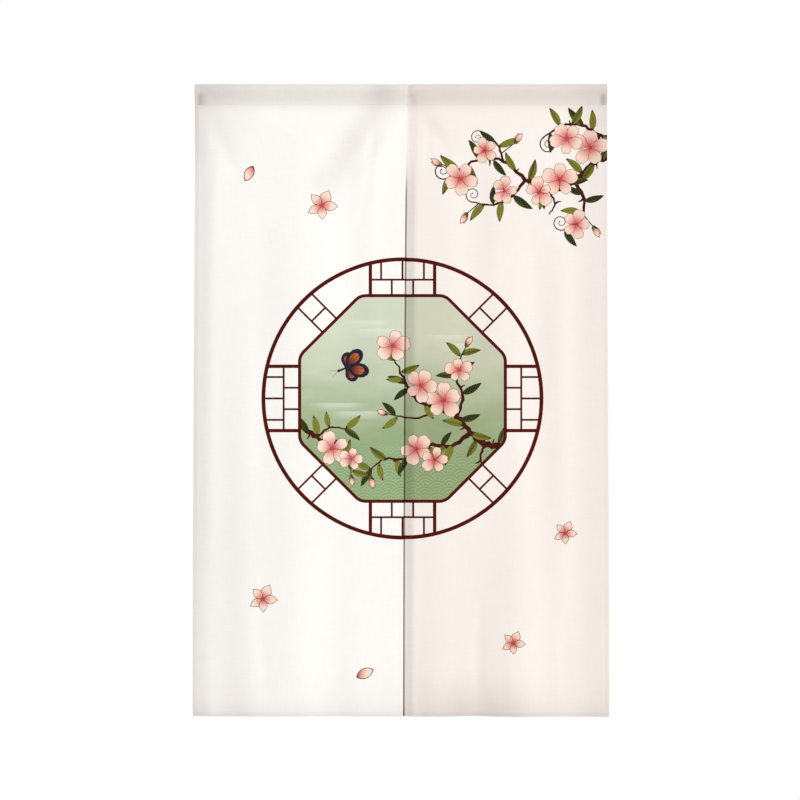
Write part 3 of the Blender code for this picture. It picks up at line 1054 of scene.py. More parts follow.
blossom(place(388, -130), 0.0400, 12, tone=0.45)
blossom(place(340, -112), 0.0350, 50, tone=0.60)
blossom(place(326, -196), 0.0370, 88, tone=0.40)
blossom(place(284, -222), 0.0320, 25, tone=0.65, squash=0.85)
blossom(place(360, -288), 0.0300, 70, tone=0.50)
blossom(place(212, -218), 0.0310, 5, tone=0.35, squash=0.84)
blossom(place(122, -194), 0.0360, 60, tone=0.55)
blossom(place(172, -136), 0.0290, 34, tone=0.40, squash=0.85)
print("whole print:", len(drawing), "outlines")

# %% [markdown]
# Now the cloth is cut up along every outline. A constrained triangulation takes points and edges
# and returns triangles that never cross an edge, so a printed line stays as sharp as its outline.
# Rows and columns of points follow the hems, the seam and the bend over the top, so that the same
# mesh also carries the folds. Each outline is first clipped to its own cloth.

# %% Rows, columns and clipping
COLUMN_STEP = 0.0078
ROW_STEP = 0.0088
POCKET_ROWS = 14
HEM_LINES = (0.0, 0.0018, 0.0040, 0.0056, 0.0064, 0.0072, 0.0078, 0.0084, 0.0100)
BOTTOM_LINES = (0.0, 0.0020, 0.0045, 0.0069, 0.0078, 0.0087, 0.0094, 0.0112)
SEAM_LINES = (-0.0026, -0.0019, -0.0012, -0.0005, 0.0, 0.0006, 0.0018, 0.0045)
SLIT_FINE = 0.0560
SLIT_STEP = 0.0034
LONGEST_EDGE = 0.0060
WALL_CLEAR = 0.0008
MAP_SPLIT = 0.6300
PRINT_START = POCKET + 0.0006
# Beside the slit the right cloth is cut along these lines. The edge's shade grows between the
# first two and fades between the third and the last.
LAP_LINES = (-0.0060, -0.0010, 0.0018, 0.0032, 0.0046)


def even_steps(start, stop, step):
    """Stops from start to stop, both left out."""
    count = max(int(round((stop - start) / step)), 1)
    return [start + (stop - start) * i / count for i in range(1, count)]


def column_stops(side):
    """Places across a cloth, closer together at the hems and along the slit."""
    low, high = HEM_LINES[-1], PANEL_WIDTH - HEM_LINES[-1]
    inside = even_steps(low, high - SLIT_FINE, COLUMN_STEP) + [high - SLIT_FINE]
    inside += even_steps(high - SLIT_FINE, high, SLIT_STEP)
    stops = list(HEM_LINES) + inside + [PANEL_WIDTH - line for line in reversed(HEM_LINES)]
    return np.array(stops) if side == "left" else PANEL_WIDTH - np.array(stops[::-1])


def row_stops():
    """Places along the path, from the back wall's seam over the top to the hem."""
    wall = [POCKET * i / POCKET_ROWS for i in range(POCKET_ROWS + 1)]
    wall = [stop for stop in wall if stop < POCKET + SEAM_LINES[0] - WALL_CLEAR]
    seam = [POCKET + line for line in SEAM_LINES]
    back = [-stop for stop in seam if stop <= POCKET][::-1] + [-stop for stop in wall[:0:-1]]
    hem = [DROP - line for line in BOTTOM_LINES[::-1]]
    middle = even_steps(seam[-1], MAP_SPLIT, ROW_STEP) + [MAP_SPLIT]
    middle += even_steps(MAP_SPLIT, hem[0], ROW_STEP)
    return np.array(sorted(back + wall + seam + middle + hem))


def clipped(outline, low, high):
    """An outline cut off at the sides of a rectangle."""
    for turn in (1, 1j, -1, -1j):
        limit = max((low * turn).real, (high * turn).real)
        spun = outline * turn
        kept = []
        for here, after in zip(spun, np.roll(spun, -1)):
            if here.real <= limit:
                kept.append(here)
            if (here.real - limit) * (after.real - limit) < 0:
                kept.append(here + (after - here) * (limit - here.real) / (after.real - here.real))
        if len(kept) < 3:
            return None
        outline = np.array(kept) / turn
    return outline


def stepped(outline):
    """The same outline with its long sides in short steps, so that it can follow the folds."""
    parts = []
    for here, after in zip(outline, np.roll(outline, -1)):
        count = max(int(math.ceil(abs(after - here) / LONGEST_EDGE)), 1)
        parts.append(here + (after - here) * np.arange(count) / count)
    return np.concatenate(parts)


def onto_cloth(side, outline):
    """Takes places on the hanging print to across and path on one cloth."""
    down = np.clip(-outline.imag, 0.0, DROP)
    left, right = panel_edges(side, down)
    return (outline.real - left) / (right - left) * PANEL_WIDTH + 1j * -outline.imag


print("rows", len(row_stops()), "columns", len(column_stops("left")))

# %% [markdown]
# Which motif covers a triangle is settled by its middle: the last outline that winds around that
# point wins. The winding number is the sum of the turns that the outline makes as seen from the
# point, which also works where an outline crosses itself.

# %% Cutting one cloth


def inside(points, outline):
    """Which points an outline winds around."""
    around = outline[None, :] - points[:, None]
    step = np.angle(np.roll(around, -1, axis=1) / around)
    return np.abs(step.sum(axis=1)) > math.pi


def flat_slivers(corners, rows):
    """Triangles without area, whose three corners lie on one side of the cloth's outline."""
    flat = np.zeros(len(corners), dtype=bool)
    for values, stop in (
        (corners.real, 0.0),
        (corners.real, PANEL_WIDTH),
        (corners.imag, rows[0]),
        (corners.imag, rows[-1]),
    ):
        flat |= (np.abs(values - stop) < 1e-6).all(axis=1)
    return flat


def kept_edges(wide, rows):
    """Edges of the grid that stay: its outline, and the row where the map is split."""
    edges = []
    for row in (0, int(np.argmin(np.abs(rows - MAP_SPLIT))), len(rows) - 1):
        edges += [(row * wide + i, row * wide + i + 1) for i in range(wide - 1)]
    for column in (0, wide - 1):
        edges += [(r * wide + column, (r + 1) * wide + column) for r in range(len(rows) - 1)]
    return edges


def covering_motifs(middles, pieces):
    """The number of the last motif around each place, or -1 on bare cloth."""
    owner = np.full(len(middles), -1)
    for number, outline in pieces:
        near = (
            (middles.real > outline.real.min())
            & (middles.real < outline.real.max())
            & (middles.imag > outline.imag.min())
            & (middles.imag < outline.imag.max())
        )
        chosen = np.flatnonzero(near)
        if len(chosen):
            owner[chosen[inside(middles[chosen], outline)]] = number
    return owner


def cut_cloth(side):
    """Triangles of one cloth in across and path, with the motif that covers each."""
    columns, rows = column_stops(side), row_stops()
    grid = (columns[None, :] + 1j * rows[:, None]).ravel()
    points, edges = [grid], kept_edges(len(columns), rows)
    low, high = 1j * PRINT_START, PANEL_WIDTH + 1j * DROP
    pieces, count = [], len(grid)
    below = rows[rows > POCKET]
    for offset in LAP_LINES if side == "right" else ():
        line = onto_cloth(side, edge_at(below, "slit") + offset - 1j * below)
        points.append(line)
        edges += [(count + i, count + i + 1) for i in range(len(line) - 1)]
        count += len(line)
    for number, motif in enumerate(drawing):
        outline = clipped(onto_cloth(side, stepped(motif.outline)), low, high)
        if outline is None:
            continue
        pieces.append((number, outline))
        points.append(outline)
        size = len(outline)
        edges += [(count + i, count + (i + 1) % size) for i in range(size)]
        count += size
    points = np.concatenate(points)
    flat = [Vector((p.real, p.imag)) for p in points]
    verts, _, faces, _, _, _ = delaunay_2d_cdt(flat, edges, [], 0, 1e-6, False)
    verts = np.array([v.x + 1j * v.y for v in verts])
    faces = np.array([f for f in faces if len(f) == 3])
    faces = faces[~flat_slivers(verts[faces], rows)]
    return verts, faces, covering_motifs(verts[faces].mean(axis=1), pieces)


cuts = {side: cut_cloth(side) for side in ("left", "right")}
for side, (verts, faces, owner) in cuts.items():
    print(side, "cloth:", len(verts), "points,", len(faces), "triangles on each face")
    print("printed ones among them:", (owner >= 0).sum())

# %% [markdown]
# Painted shade: the cloth is darkened where it lies in layers, strongly in the rod pocket and fainter
# in the hems, and this shade fades out below the pocket. More painted shade darkens the top edge, the
# strip above the bottom hem, the outer edges and the pinches at the pocket's ends, where the cloth
# turns from the light. Each amount is a share of one full grey, set later in the material.

# %% Painted shade of the layers and edges
POCKET_SHADE = 1.12
POCKET_SHADE_START = 0.026
POCKET_SHADE_STOP = 0.062
TOP_SHADE = 0.30
TOP_SHADE_RUN = 0.0060
OUTER_FROM = 0.2
OUTER_HEM_SHADE = {"left": 0.60, "right": 0.16}
SLIT_HEM_SHADE = 0.02
BOTTOM_HEM_SHADE = 0.42
EDGE_SHADE = {"left": 0.42, "right": 0.40}
EDGE_SHADE_RUN = {"left": 0.050, "right": 0.090}
HEM_SHADE = 0.36
HEM_SHADE_RUN = 0.040
LOW_SHADE = 0.15
LOW_SHADE_RUN = 0.1100


def painted_shade(side, across, path):
    """How much painted shade a place gets from the layers behind it, its edges, the top and the hem.
    """
    x = cloth_middle(side, across, path)[:, 0]
    pocket = 1.0 - smooth(np.abs(path), POCKET_SHADE_START, POCKET_SHADE_STOP)
    top_edge = TOP_SHADE * (1.0 - smooth(np.abs(path), 0.0, TOP_SHADE_RUN))
    outer = np.abs(x) > OUTER_FROM
    side_hem = hem_share(across, DROP / 2)
    hem = np.where(outer, OUTER_HEM_SHADE[side], SLIT_HEM_SHADE) * side_hem
    bottom = 1.0 - smooth(DROP - path, BOTTOM_HEM - HEM_STEP, BOTTOM_HEM + HEM_STEP)
    hem = np.maximum(hem, BOTTOM_HEM_SHADE * bottom)
    above_hem = HEM_SHADE * smooth(path, DROP - HEM_SHADE_RUN, DROP)
    above_hem = above_hem + LOW_SHADE * smooth(path, DROP - LOW_SHADE_RUN, DROP - HEM_SHADE_RUN)
    near_edge = 1.0 - smooth(edge_distance(across), 0.0, EDGE_SHADE_RUN[side])
    at_edge = EDGE_SHADE[side] * outer * near_edge
    pinched = dimples(side, x, path)[1] * (path > 0.0) * (path < POCKET)
    layer_and_edge_shade = POCKET_SHADE * pocket + (hem + at_edge) * (1.0 - pocket)
    return layer_and_edge_shade + above_hem + top_edge + pinched


print("the pocket's grey fades out", POCKET_SHADE_STOP * 1000, "mm below the top edge")

# %% [markdown]
# Two more painted shades lie on the front alone. Where the cloth draws in, at the pocket's ends,
# beside the top of the slit and above the hem, it carries painted shadows wider than a crease, each
# around a line between two places. And the left cloth's edge throws a narrow shadow on the right
# cloth behind it, painted as a line and a haze, which the mesh has its own lines for, so that it
# stays sharp.

# %% Painted shade of the folds and the slit
FRONT_RUN = 0.0040
LAP_SHADE_START = 0.160
LAP_SHADE_RUN = 0.080
LAP_LINE = 4.3
LAP_LINE_ABOVE = 0.06
HAZE_SHADE = 0.06
HAZE_FROM = 0.0030
HAZE_TO = 0.0300

Grey = namedtuple("Grey", "side start end reach at_start at_end")
SOFT_GREYS = (
    Grey("left", -0.430 - 0.024j, -0.430 - 0.042j, 0.175, 0.76, 0.76),
    Grey("left", -0.036 - 0.034j, -0.150 - 0.200j, 0.056, 0.74, 0.58),
    Grey("left", -0.385 - 0.520j, -0.350 - 1.300j, 0.085, 0.12, 0.38),
    Grey("right", 0.425 - 0.014j, 0.425 - 0.060j, 0.120, 0.52, 0.52),
    Grey("right", 0.034 - 0.045j, 0.056 - 0.085j, 0.050, 0.25, 0.25),
    Grey("right", 0.104 - 0.900j, 0.118 - 1.280j, 0.040, 0.00, 0.46),
    Grey("right", 0.118 - 1.300j, 0.215 - 1.300j, 0.105, 0.60, 0.60),
    Grey("right", 0.036 - 1.080j, 0.042 - 1.300j, 0.032, 0.00, 0.40),
)


def fold_grey(side, across, path):
    """Soft painted shade on the front where the cloth draws in, each around a line between two
    places.
    """
    at = cloth_middle(side, across, path)[:, 0] - 1j * path
    total = 0.0 * path
    for grey in SOFT_GREYS:
        if grey.side == side:
            run = grey.end - grey.start
            share = np.clip(((at - grey.start) / run).real, 0.0, 1.0)
            amount = grey.at_start + (grey.at_end - grey.at_start) * share
            total = total + amount * bell(np.abs(at - grey.start - share * run), grey.reach)
    return total * smooth(path, -FRONT_RUN, FRONT_RUN)


def lap_tone(side, across, path):
    """The shade that the left cloth's edge throws on the right cloth, a narrow line and a haze."""
    if side == "left":
        return 0.0 * path
    beside = cloth_middle(side, across, path)[:, 0] - edge_at(np.maximum(path, 0.0), "slit")
    parted = smooth(path, LAP_SHADE_START, LAP_SHADE_START + LAP_SHADE_RUN)
    line = smooth(beside, LAP_LINES[0], LAP_LINES[1])
    line = line * (1.0 - smooth(beside, LAP_LINES[2], LAP_LINES[4]))
    haze = 1.0 - smooth(beside, HAZE_FROM, HAZE_TO)
    above = LAP_LINE_ABOVE * smooth(path, 0.0, FRONT_RUN) * (1.0 - parted)
    return (parted + above) * LAP_LINE * line + parted * HAZE_SHADE * haze


print("soft greys:", len(SOFT_GREYS))

# %% [markdown]
# Each cloth becomes one closed mesh: the printed face, the other face a cloth's thickness behind
# it, and a narrow rim around the edge. The rim is found from the triangles themselves, as the
# edges that only one triangle uses. Each corner of a triangle also learns where it lies in its
# motif: how far along it, how far across it, and the motif's own tone.

# %% Inks, the rim and places in a motif
INKS = (
    "bare", "red", "field", "mist", "bough", "leaf", "leaf_line",
    "petal", "petal_line", "heart", "anther", "wing", "wing_patch",
)


def motif_frame(places, owner):
    """Along, across and tone for each corner of each triangle."""
    roots = np.array([m.root for m in drawing] + [0j])[owner][:, None]
    tips = np.array([m.tip for m in drawing] + [1 + 0j])[owner][:, None]
    widths = np.array([m.width for m in drawing] + [1.0])[owner][:, None]
    tones = np.array([m.tone for m in drawing] + [0.5])[owner][:, None]
    turned_in = (places - roots) / (tips - roots)
    sideways = turned_in.imag * np.abs(tips - roots) / widths
    return np.stack([turned_in.real, sideways, tones + 0.0 * sideways], axis=-1)


def rim_edges(faces, count):
    """The outline of a triangle net, as directed edges and the triangle beside each."""
    directed = np.concatenate([faces[:, [0, 1]], faces[:, [1, 2]], faces[:, [2, 0]]])
    keys = directed[:, 0] * count + directed[:, 1]
    alone = ~np.isin(directed[:, 1] * count + directed[:, 0], keys)
    return directed[alone], np.flatnonzero(alone) % len(faces)


print("inks:", len(INKS))

# %% [markdown]
# Each cloth gets a square map of its own. The printed face matters most, so it gets two tall halves
# side by side at full scale, and the back lies beneath them at about half scale.

# %% The map of a cloth
MAP_GAP = 0.005
MAP_BACK_SCALE = 0.55
MAP_RIM = 0.0014
MAP_SIDE = 0.937


def map_places(across, path, face_middle, is_back):
    """Where corners lie on the square map, from 0 to 1."""
    lower = (face_middle >= MAP_SPLIT).astype(float)
    start = np.where(lower > 0, MAP_SPLIT, -POCKET)
    if is_back:
        u = MAP_GAP + (path - start + lower * (MAP_SPLIT + POCKET + 2 * MAP_GAP)) * MAP_BACK_SCALE
        v = 2 * MAP_GAP + MAP_SPLIT + POCKET + MAP_GAP + across * MAP_BACK_SCALE
    else:
        u = MAP_GAP + across + lower * (PANEL_WIDTH + MAP_GAP)
        v = MAP_GAP + path - start
    return np.stack([u, v], axis=-1) / MAP_SIDE


print("the map is laid out over", MAP_SIDE, "m")

# %% [markdown]
# Now the mesh is put together: its faces and their inks, four attributes for the materials, and the
# map. The attributes say where a corner lies in its motif, how much painted shade a place gets, how
# much it takes of the painted shade that makes the right cloth's white darker and warmer, and how
# much of the ink shows: all of it on the printed face, and a fifth on the other face, where a print
# on one side of the cloth only shows through.

# %% Building the cloths
SHOW_THROUGH = 0.20
# How much of the right cloth's darker, warmer painted shade each front takes; the backs of both take
# a share of it.
SIDE_SHADE_SHARE = {"left": 0.0, "right": 1.0}
BACK_SIDE_SHADE = 0.35
OVER_THE_TOP = (-0.010, 0.004)
SHARP_ANGLE = 50.0


def store(mesh, name, kind, domain, values):
    """Adds an attribute and fills it."""
    attribute = mesh.attributes.new(name, kind, domain)
    field = "vector" if kind == "FLOAT_VECTOR" else "value"
    attribute.data.foreach_set(field, values.astype(np.float32).ravel())


def store_tones(mesh, side, across, path):
    """Stores each point's painted shade, its share of the right cloth's darker, warmer painted shade,
    and how inked it is, the front's points first.
    """
    tone = painted_shade(side, across, path)
    on_front = lap_tone(side, across, path) + fold_grey(side, across, path)
    store(mesh, "painted_shade", "FLOAT", "POINT", np.concatenate([tone + on_front, tone]))
    warm = BACK_SIDE_SHADE + (SIDE_SHADE_SHARE[side] - BACK_SIDE_SHADE) * smooth(path, *OVER_THE_TOP)
    back = np.full(len(path), BACK_SIDE_SHADE)
    store(mesh, "side_shade", "FLOAT", "POINT", np.concatenate([warm, back]))
    shown = np.repeat([1.0, SHOW_THROUGH], len(path))
    store(mesh, "ink_shows", "FLOAT", "POINT", shown)


def rim_map_places(across, path, face_middle):
    """Where the rim lies on the map: just outside the printed face's own place."""
    out_x = np.sign(across - PANEL_WIDTH / 2) * (edge_distance(across) < STEP)
    ends = (path > DROP - STEP).astype(float) - (path < STEP - POCKET)
    lifted = np.array([0.0, 0.0, MAP_RIM, MAP_RIM]) / MAP_SIDE
    on_face = map_places(across, path, face_middle, False)
    return on_face + np.stack([out_x, ends], axis=-1) * lifted[None, :, None]


def build_cloth(side):
    """One cloth as a closed mesh object with its attributes and its map."""
    verts, faces, owner = cuts[side]
    across, path = verts.real, verts.imag
    count = len(verts)
    front, back, _ = cloth_faces(side, across, path)
    edges, beside = rim_edges(faces, count)
    rims = np.concatenate([edges, edges[:, ::-1] + count], axis=1)
    front_faces, back_faces = faces[:, ::-1], faces
    mesh = bpy.data.meshes.new("cloth_" + side)
    polygons = front_faces.tolist() + (back_faces + count).tolist() + rims.tolist()
    mesh.from_pydata(np.concatenate([front, back]).tolist(), [], polygons)

    ink_number = {ink: i for i, ink in enumerate(INKS)}
    inks = np.array([ink_number[motif.ink] for motif in drawing] + [0])
    of_face = inks[owner]
    mesh.polygons.foreach_set("material_index", np.concatenate([of_face, of_face, of_face[beside]]))

    left, right = panel_edges(side, np.maximum(path, 0.0))
    hung = left + (right - left) * across / PANEL_WIDTH - 1j * path
    rim_corners = np.concatenate([edges, edges[:, ::-1]], axis=1)
    frames = [motif_frame(hung[front_faces], owner), motif_frame(hung[back_faces], owner)]
    frames.append(motif_frame(hung[rim_corners], owner[beside]))
    store(mesh, "motif", "FLOAT_VECTOR", "CORNER", np.concatenate([f.reshape(-1, 3) for f in frames]))
    store_tones(mesh, side, across, path)

    middle = path[faces].mean(axis=1)[:, None]
    places = []
    for corners, is_back in ((front_faces, False), (back_faces, True)):
        places.append(map_places(across[corners], path[corners], middle, is_back).reshape(-1, 2))
    rim_places = rim_map_places(across[rim_corners], path[rim_corners], middle[beside])
    places.append(rim_places.reshape(-1, 2))
    layer = mesh.uv_layers.new(name="OFBake")
    layer.data.foreach_set("uv", np.concatenate(places).astype(np.float32).ravel())

    mesh.shade_smooth()
    mesh.set_sharp_from_angle(angle=math.radians(SHARP_ANGLE))
    mesh.validate()
    cloth = bpy.data.objects.new("cloth_" + side, mesh)
    scene.collection.objects.link(cloth)
    return cloth


cloths = {side: build_cloth(side) for side in ("left", "right")}
for side, cloth in cloths.items():
    triangles = sum(len(p.vertices) - 2 for p in cloth.data.polygons)
    print(cloth.name, "has", triangles, "triangles")

# %% [markdown]
# Materials are written as sums. A small class wraps one socket, and Python's own signs add the
# Math nodes, so a fade can be written as 1 - mask. One method makes any other node from its type,
# its settings and what goes into its sockets. Colours never pass through Math nodes, which would
# turn them grey; they are mixed instead.

# %% A socket that works with plus and minus


class Wire:
    """One output of a node, or only a node tree to begin from."""

    def __init__(self, tree, socket=None):
        self.tree = tree
        self.socket = socket

    def node(self, kind, settings=None, sockets=None, output=0):
        """Makes a node, sets it up, fills its sockets and returns one of its outputs."""
        made = self.tree.nodes.new(kind)
        for name, value in (settings or {}).items():
            setattr(made, name, value)
        for name, value in (sockets or {}).items():
            if isinstance(value, Wire):
                self.tree.links.new(value.socket, made.inputs[name])
            else:
                made.inputs[name].default_value = value
        return Wire(self.tree, made.outputs[output])

    def maths(self, operation, *values):
        """A Math node on any values or wires."""
        return self.node("ShaderNodeMath", {"operation": operation}, dict(enumerate(values)))

    def __add__(self, other):
        return self.maths("ADD", self, other)

    def __sub__(self, other):
        return self.maths("SUBTRACT", self, other)

    def __rsub__(self, other):
        return self.maths("SUBTRACT", other, self)

    def __mul__(self, other):
        return self.maths("MULTIPLY", self, other)

    def __truediv__(self, other):
        return self.maths("DIVIDE", self, other)

    __radd__ = __add__
    __rmul__ = __mul__

    def fade(self, start, stop):
        """0 before start, 1 after stop, soft between."""
        settings = {"interpolation_type": "SMOOTHSTEP"}
        return self.node("ShaderNodeMapRange", settings, {0: self, 1: start, 2: stop, 3: 0.0, 4: 1.0})

    def through(self, operation):
        """This value through one of the Math node's operations that take a single value."""
        return self.maths(operation, self)

    def mix(self, low, high):
        """This value blends from one colour to another."""
        return self.node("ShaderNodeMix", {"data_type": "RGBA"}, {0: self, 6: low, 7: high}, 2)

    def darken(self, colour):
        """Another colour as it looks through this one, as through tinted glass."""
        settings = {"data_type": "RGBA", "blend_type": "MULTIPLY"}
        return self.node("ShaderNodeMix", settings, {0: 1.0, 6: colour, 7: self}, 2)

    def noise(self, scale, detail=2.0):
        """Soft noise of this vector, stretched by a scale for each axis."""
        spread = self.node("ShaderNodeVectorMath", {"operation": "MULTIPLY"}, {0: self, 1: scale})
        sockets = {"Vector": spread, "Scale": 1.0, "Detail": detail}
        return self.node("ShaderNodeTexNoise", None, sockets)


def srgb(red, green, blue):
    """A colour as a painter's 0 to 255 numbers."""
    parts = [c / 255.0 for c in (red, green, blue)]
    return tuple(c / 12.92 if c <= 0.04045 else ((c + 0.055) / 1.055) ** 2.4 for c in parts) + (1.0,)


print("a middle grey in light values:", round(srgb(128, 128, 128)[0], 3))

# %% [markdown]
# The cloth is polyester woven to look like linen: uneven threads, called slubs, run both ways and
# show as faint streaks. Long thin noise in each direction gives the slubs, shorter noise the single
# threads, and very wide noise the slight clouding of a cloth that has been folded. All of it reads
# Object coordinates, which here are the real metres. The painted shade dims paint and print alike,
# the red in it least, and a further painted shade makes the right cloth's white and print darker and
# warmer.

# %% Threads and slubs
CLOTH_PAINT = srgb(252, 249, 245)
# The right cloth's white under its painted shade: darker and warmer.
CLOTH_IN_SHADE = srgb(244, 236, 230)
SIDE_SHADE_TINT = tuple(warm / paint for warm, paint in zip(CLOTH_IN_SHADE, CLOTH_PAINT))
NO_TINT = (1.0, 1.0, 1.0, 1.0)
SLUB_ACROSS = (24.0, 1.0, 430.0)
SLUB_DOWN = (430.0, 1.0, 24.0)
THREAD_ACROSS = (170.0, 1.0, 1250.0)
THREAD_DOWN = (1250.0, 1.0, 170.0)
CLOUDS = (7.0, 7.0, 5.0)
SLUB_SHADE = 0.125
CLOUD_SHADE = 0.055
PAINTED_SHADE_STRENGTH = 0.180
SHADE_WARMTH = 0.024
SHADE_WARM_UP_TO = 1.2
INK_COVER = 1.10
INK_SKIP = 0.12
SLUB_HEIGHT = 0.6
THREAD_HEIGHT = 0.5
BUMP_STRENGTH = 0.30
BUMP_DISTANCE = 0.0004
WEAVE_ROUGHNESS = 0.84
ROUGHNESS_SPREAD = 0.2
FIBRE_SHEEN = 0.01
FIBRE_GLOSS = 0.06

Spot = namedtuple("Spot", "coords x z along across tone")


def cloth_material(name, ink):
    """A woven finish. ink is None for bare cloth, or a function from a Spot to a colour."""
    material = bpy.data.materials.new(name)
    material.use_nodes = True
    desk = Wire(material.node_tree)
    shader = material.node_tree.nodes["Principled BSDF"]
    coords = desk.node("ShaderNodeTexCoord", None, None, "Object")
    x = coords.node("ShaderNodeSeparateXYZ", None, {0: coords}, 0)
    z = coords.node("ShaderNodeSeparateXYZ", None, {0: coords}, 2)
    slubs = (coords.noise(SLUB_ACROSS) + coords.noise(SLUB_DOWN)) * 0.5
    threads = (coords.noise(THREAD_ACROSS, 0.0) + coords.noise(THREAD_DOWN, 0.0)) * 0.5
    # The painted shade of the layers, edges, hem, folds and slit, as a share of one full grey.
    shade_amount = desk.node("ShaderNodeAttribute", {"attribute_name": "painted_shade"}, None, "Fac")
    # The right cloth's painted shade, which makes its white and print darker and warmer.
    side_shade = desk.node("ShaderNodeAttribute", {"attribute_name": "side_shade"}, None, "Fac")
    paint = CLOTH_PAINT
    if ink:
        motif = desk.node("ShaderNodeAttribute", {"attribute_name": "motif"}, None, "Vector")
        parts = [motif.node("ShaderNodeSeparateXYZ", None, {0: motif}, i) for i in range(3)]
        shown = desk.node("ShaderNodeAttribute", {"attribute_name": "ink_shows"}, None, "Fac")
        cover = shown * (INK_COVER - INK_SKIP * slubs)
        paint = cover.mix(CLOTH_PAINT, ink(Spot(coords, x, z, *parts)))
    clouds = coords.noise(CLOUDS, 3.0)
    shade = 1.0 - shade_amount * PAINTED_SHADE_STRENGTH + (slubs - 0.5) * SLUB_SHADE + (clouds - 0.5) * CLOUD_SHADE
    red = shade + shade_amount.maths("MINIMUM", shade_amount, SHADE_WARM_UP_TO) * SHADE_WARMTH
    grey = desk.node("ShaderNodeCombineColor", None, {0: red, 1: shade, 2: shade})
    colour = grey.darken(side_shade.mix(NO_TINT, SIDE_SHADE_TINT).darken(paint))
    height = slubs * SLUB_HEIGHT + threads * THREAD_HEIGHT
    sockets = {"Strength": BUMP_STRENGTH, "Distance": BUMP_DISTANCE, "Height": height}
    bump = desk.node("ShaderNodeBump", None, sockets)
    roughness = WEAVE_ROUGHNESS + (slubs - 0.5) * ROUGHNESS_SPREAD
    links = material.node_tree.links
    links.new(colour.socket, shader.inputs["Base Color"])
    links.new(roughness.socket, shader.inputs["Roughness"])
    links.new(bump.socket, shader.inputs["Normal"])
    shader.inputs["Specular IOR Level"].default_value = FIBRE_GLOSS
    shader.inputs["Sheen Weight"].default_value = FIBRE_SHEEN
    return material


print("cloth colour:", [round(c, 3) for c in CLOTH_PAINT[:3]])

# %% [markdown]
# The ground of the window is pale at the top and deepens to leaf green, as a watercolour wash
# does. Low down it carries rows of overlapping wave scales, an old textile repeat. A scale is a
# set of rings around its own centre, and at each place the lowest row whose circle reaches it is
# the one in front, so the shader asks the rows in turn.

# %% The window's ground
WAVE_RADIUS = 0.0250
WAVE_RINGS = 4.0
WINDOW_TOP = MEDALLION.imag + WINDOW
WINDOW_FOOT = MEDALLION.imag - WINDOW
FIELD_PALE = srgb(212, 218, 196)
FIELD_DEEP = srgb(144, 167, 120)
WASH_SCALE = (9.0, 9.0, 22.0)
WASH_UNEVEN = 0.30
WAVE_LIGHT = srgb(206, 218, 188)
WAVE_STRENGTH = 0.32
WAVE_START = -0.700
WAVE_FULL = -0.790
MIST_LIGHT = srgb(232, 236, 222)


def field_wash(spot):
    """The wash alone."""
    fall = (spot.z - WINDOW_TOP) / (WINDOW_FOOT - WINDOW_TOP)
    uneven = fall + (spot.coords.noise(WASH_SCALE, 3.0) - 0.5) * WASH_UNEVEN
    return uneven.fade(0.10, 0.86).mix(FIELD_PALE, FIELD_DEEP)


def wave_lines(spot):
    """Rings of overlapping scales, as a mask."""
    rows = spot.z / (WAVE_RADIUS / 2)
    first = (rows - 2.0).through("CEIL")
    found, lines = None, None
    for step in range(2):
        row = first + float(step)
        shift = (row * 0.5).through("FRACT") * 2.0
        column = spot.x / WAVE_RADIUS + shift
        nearest = (column * 0.5).through("ROUND") * 2.0
        away_x = column - nearest
        away_z = (rows - row) * 0.5
        distance = (away_x * away_x + away_z * away_z).through("SQRT")
        rings = (distance * WAVE_RINGS).through("FRACT")
        line = (rings - 0.5).through("ABSOLUTE").fade(0.26, 0.44)
        reached = 1.0 - distance.fade(0.995, 1.005)
        if found is None:
            found, lines = reached, line * reached
        else:
            lines = lines + line * (1.0 - found)
    return lines


def field_ink(spot):
    """The wash, with the scales coming in towards its foot."""
    low = 1.0 - spot.z.fade(WAVE_FULL, WAVE_START)
    return (wave_lines(spot) * low * WAVE_STRENGTH).mix(field_wash(spot), WAVE_LIGHT)


def mist_ink(spot):
    """A pale veil, stronger at a band's top and in the middle of its length."""
    middle = 1.0 - spot.across.through("ABSOLUTE").fade(0.30, 1.05)
    strength = (spot.along.fade(-0.1, 1.0) * 0.42 + spot.tone * 0.16) * (middle * 0.8 + 0.2)
    return strength.mix(field_wash(spot), MIST_LIGHT)


print("wave scales", WAVE_RADIUS * 2000, "mm across")

# %% [markdown]
# The other inks are small washes too. A petal is cream at its tip and pink at its root, with fine
# streaks that spread from the root. A leaf goes from olive to deep green by its own tone, and its
# two halves differ. Wood, wings and lines are darker inks with a little unevenness.

# %% Inks of the motifs
DARK_RED = srgb(68, 12, 7)
THIN_RED = srgb(112, 36, 21)
PETAL_TIP = srgb(250, 226, 208)
PETAL_ROOT = srgb(236, 152, 144)
PETAL_STREAK = srgb(206, 88, 92)
LEAF_OLIVE = srgb(126, 128, 42)
LEAF_DEEP = srgb(30, 44, 22)
LEAF_VEIN = srgb(196, 202, 120)
WOOD = srgb(92, 34, 22)
WOOD_DARK = srgb(42, 14, 10)
WING_DARK = srgb(30, 26, 40)
WING_LIGHT = srgb(52, 46, 62)
PATCH_ROOT = srgb(92, 40, 34)
PATCH_TIP = srgb(196, 104, 52)
LINE_INKS = {
    "leaf_line": (srgb(50, 40, 22), srgb(66, 52, 28)),
    "petal_line": (srgb(138, 80, 62), srgb(100, 52, 42)),
    "heart": (srgb(204, 84, 92), srgb(178, 58, 68)),
    "anther": (srgb(150, 60, 50), srgb(120, 44, 40)),
}


def speckle(spot, fineness, detail=2.0):
    """Even noise: the finer it is, the smaller its specks."""
    return spot.coords.noise((fineness, fineness, fineness), detail)


def red_ink(spot):
    """Dark red that lies a little thinner in places."""
    return (speckle(spot, 60.0) * 0.5).mix(DARK_RED, THIN_RED)


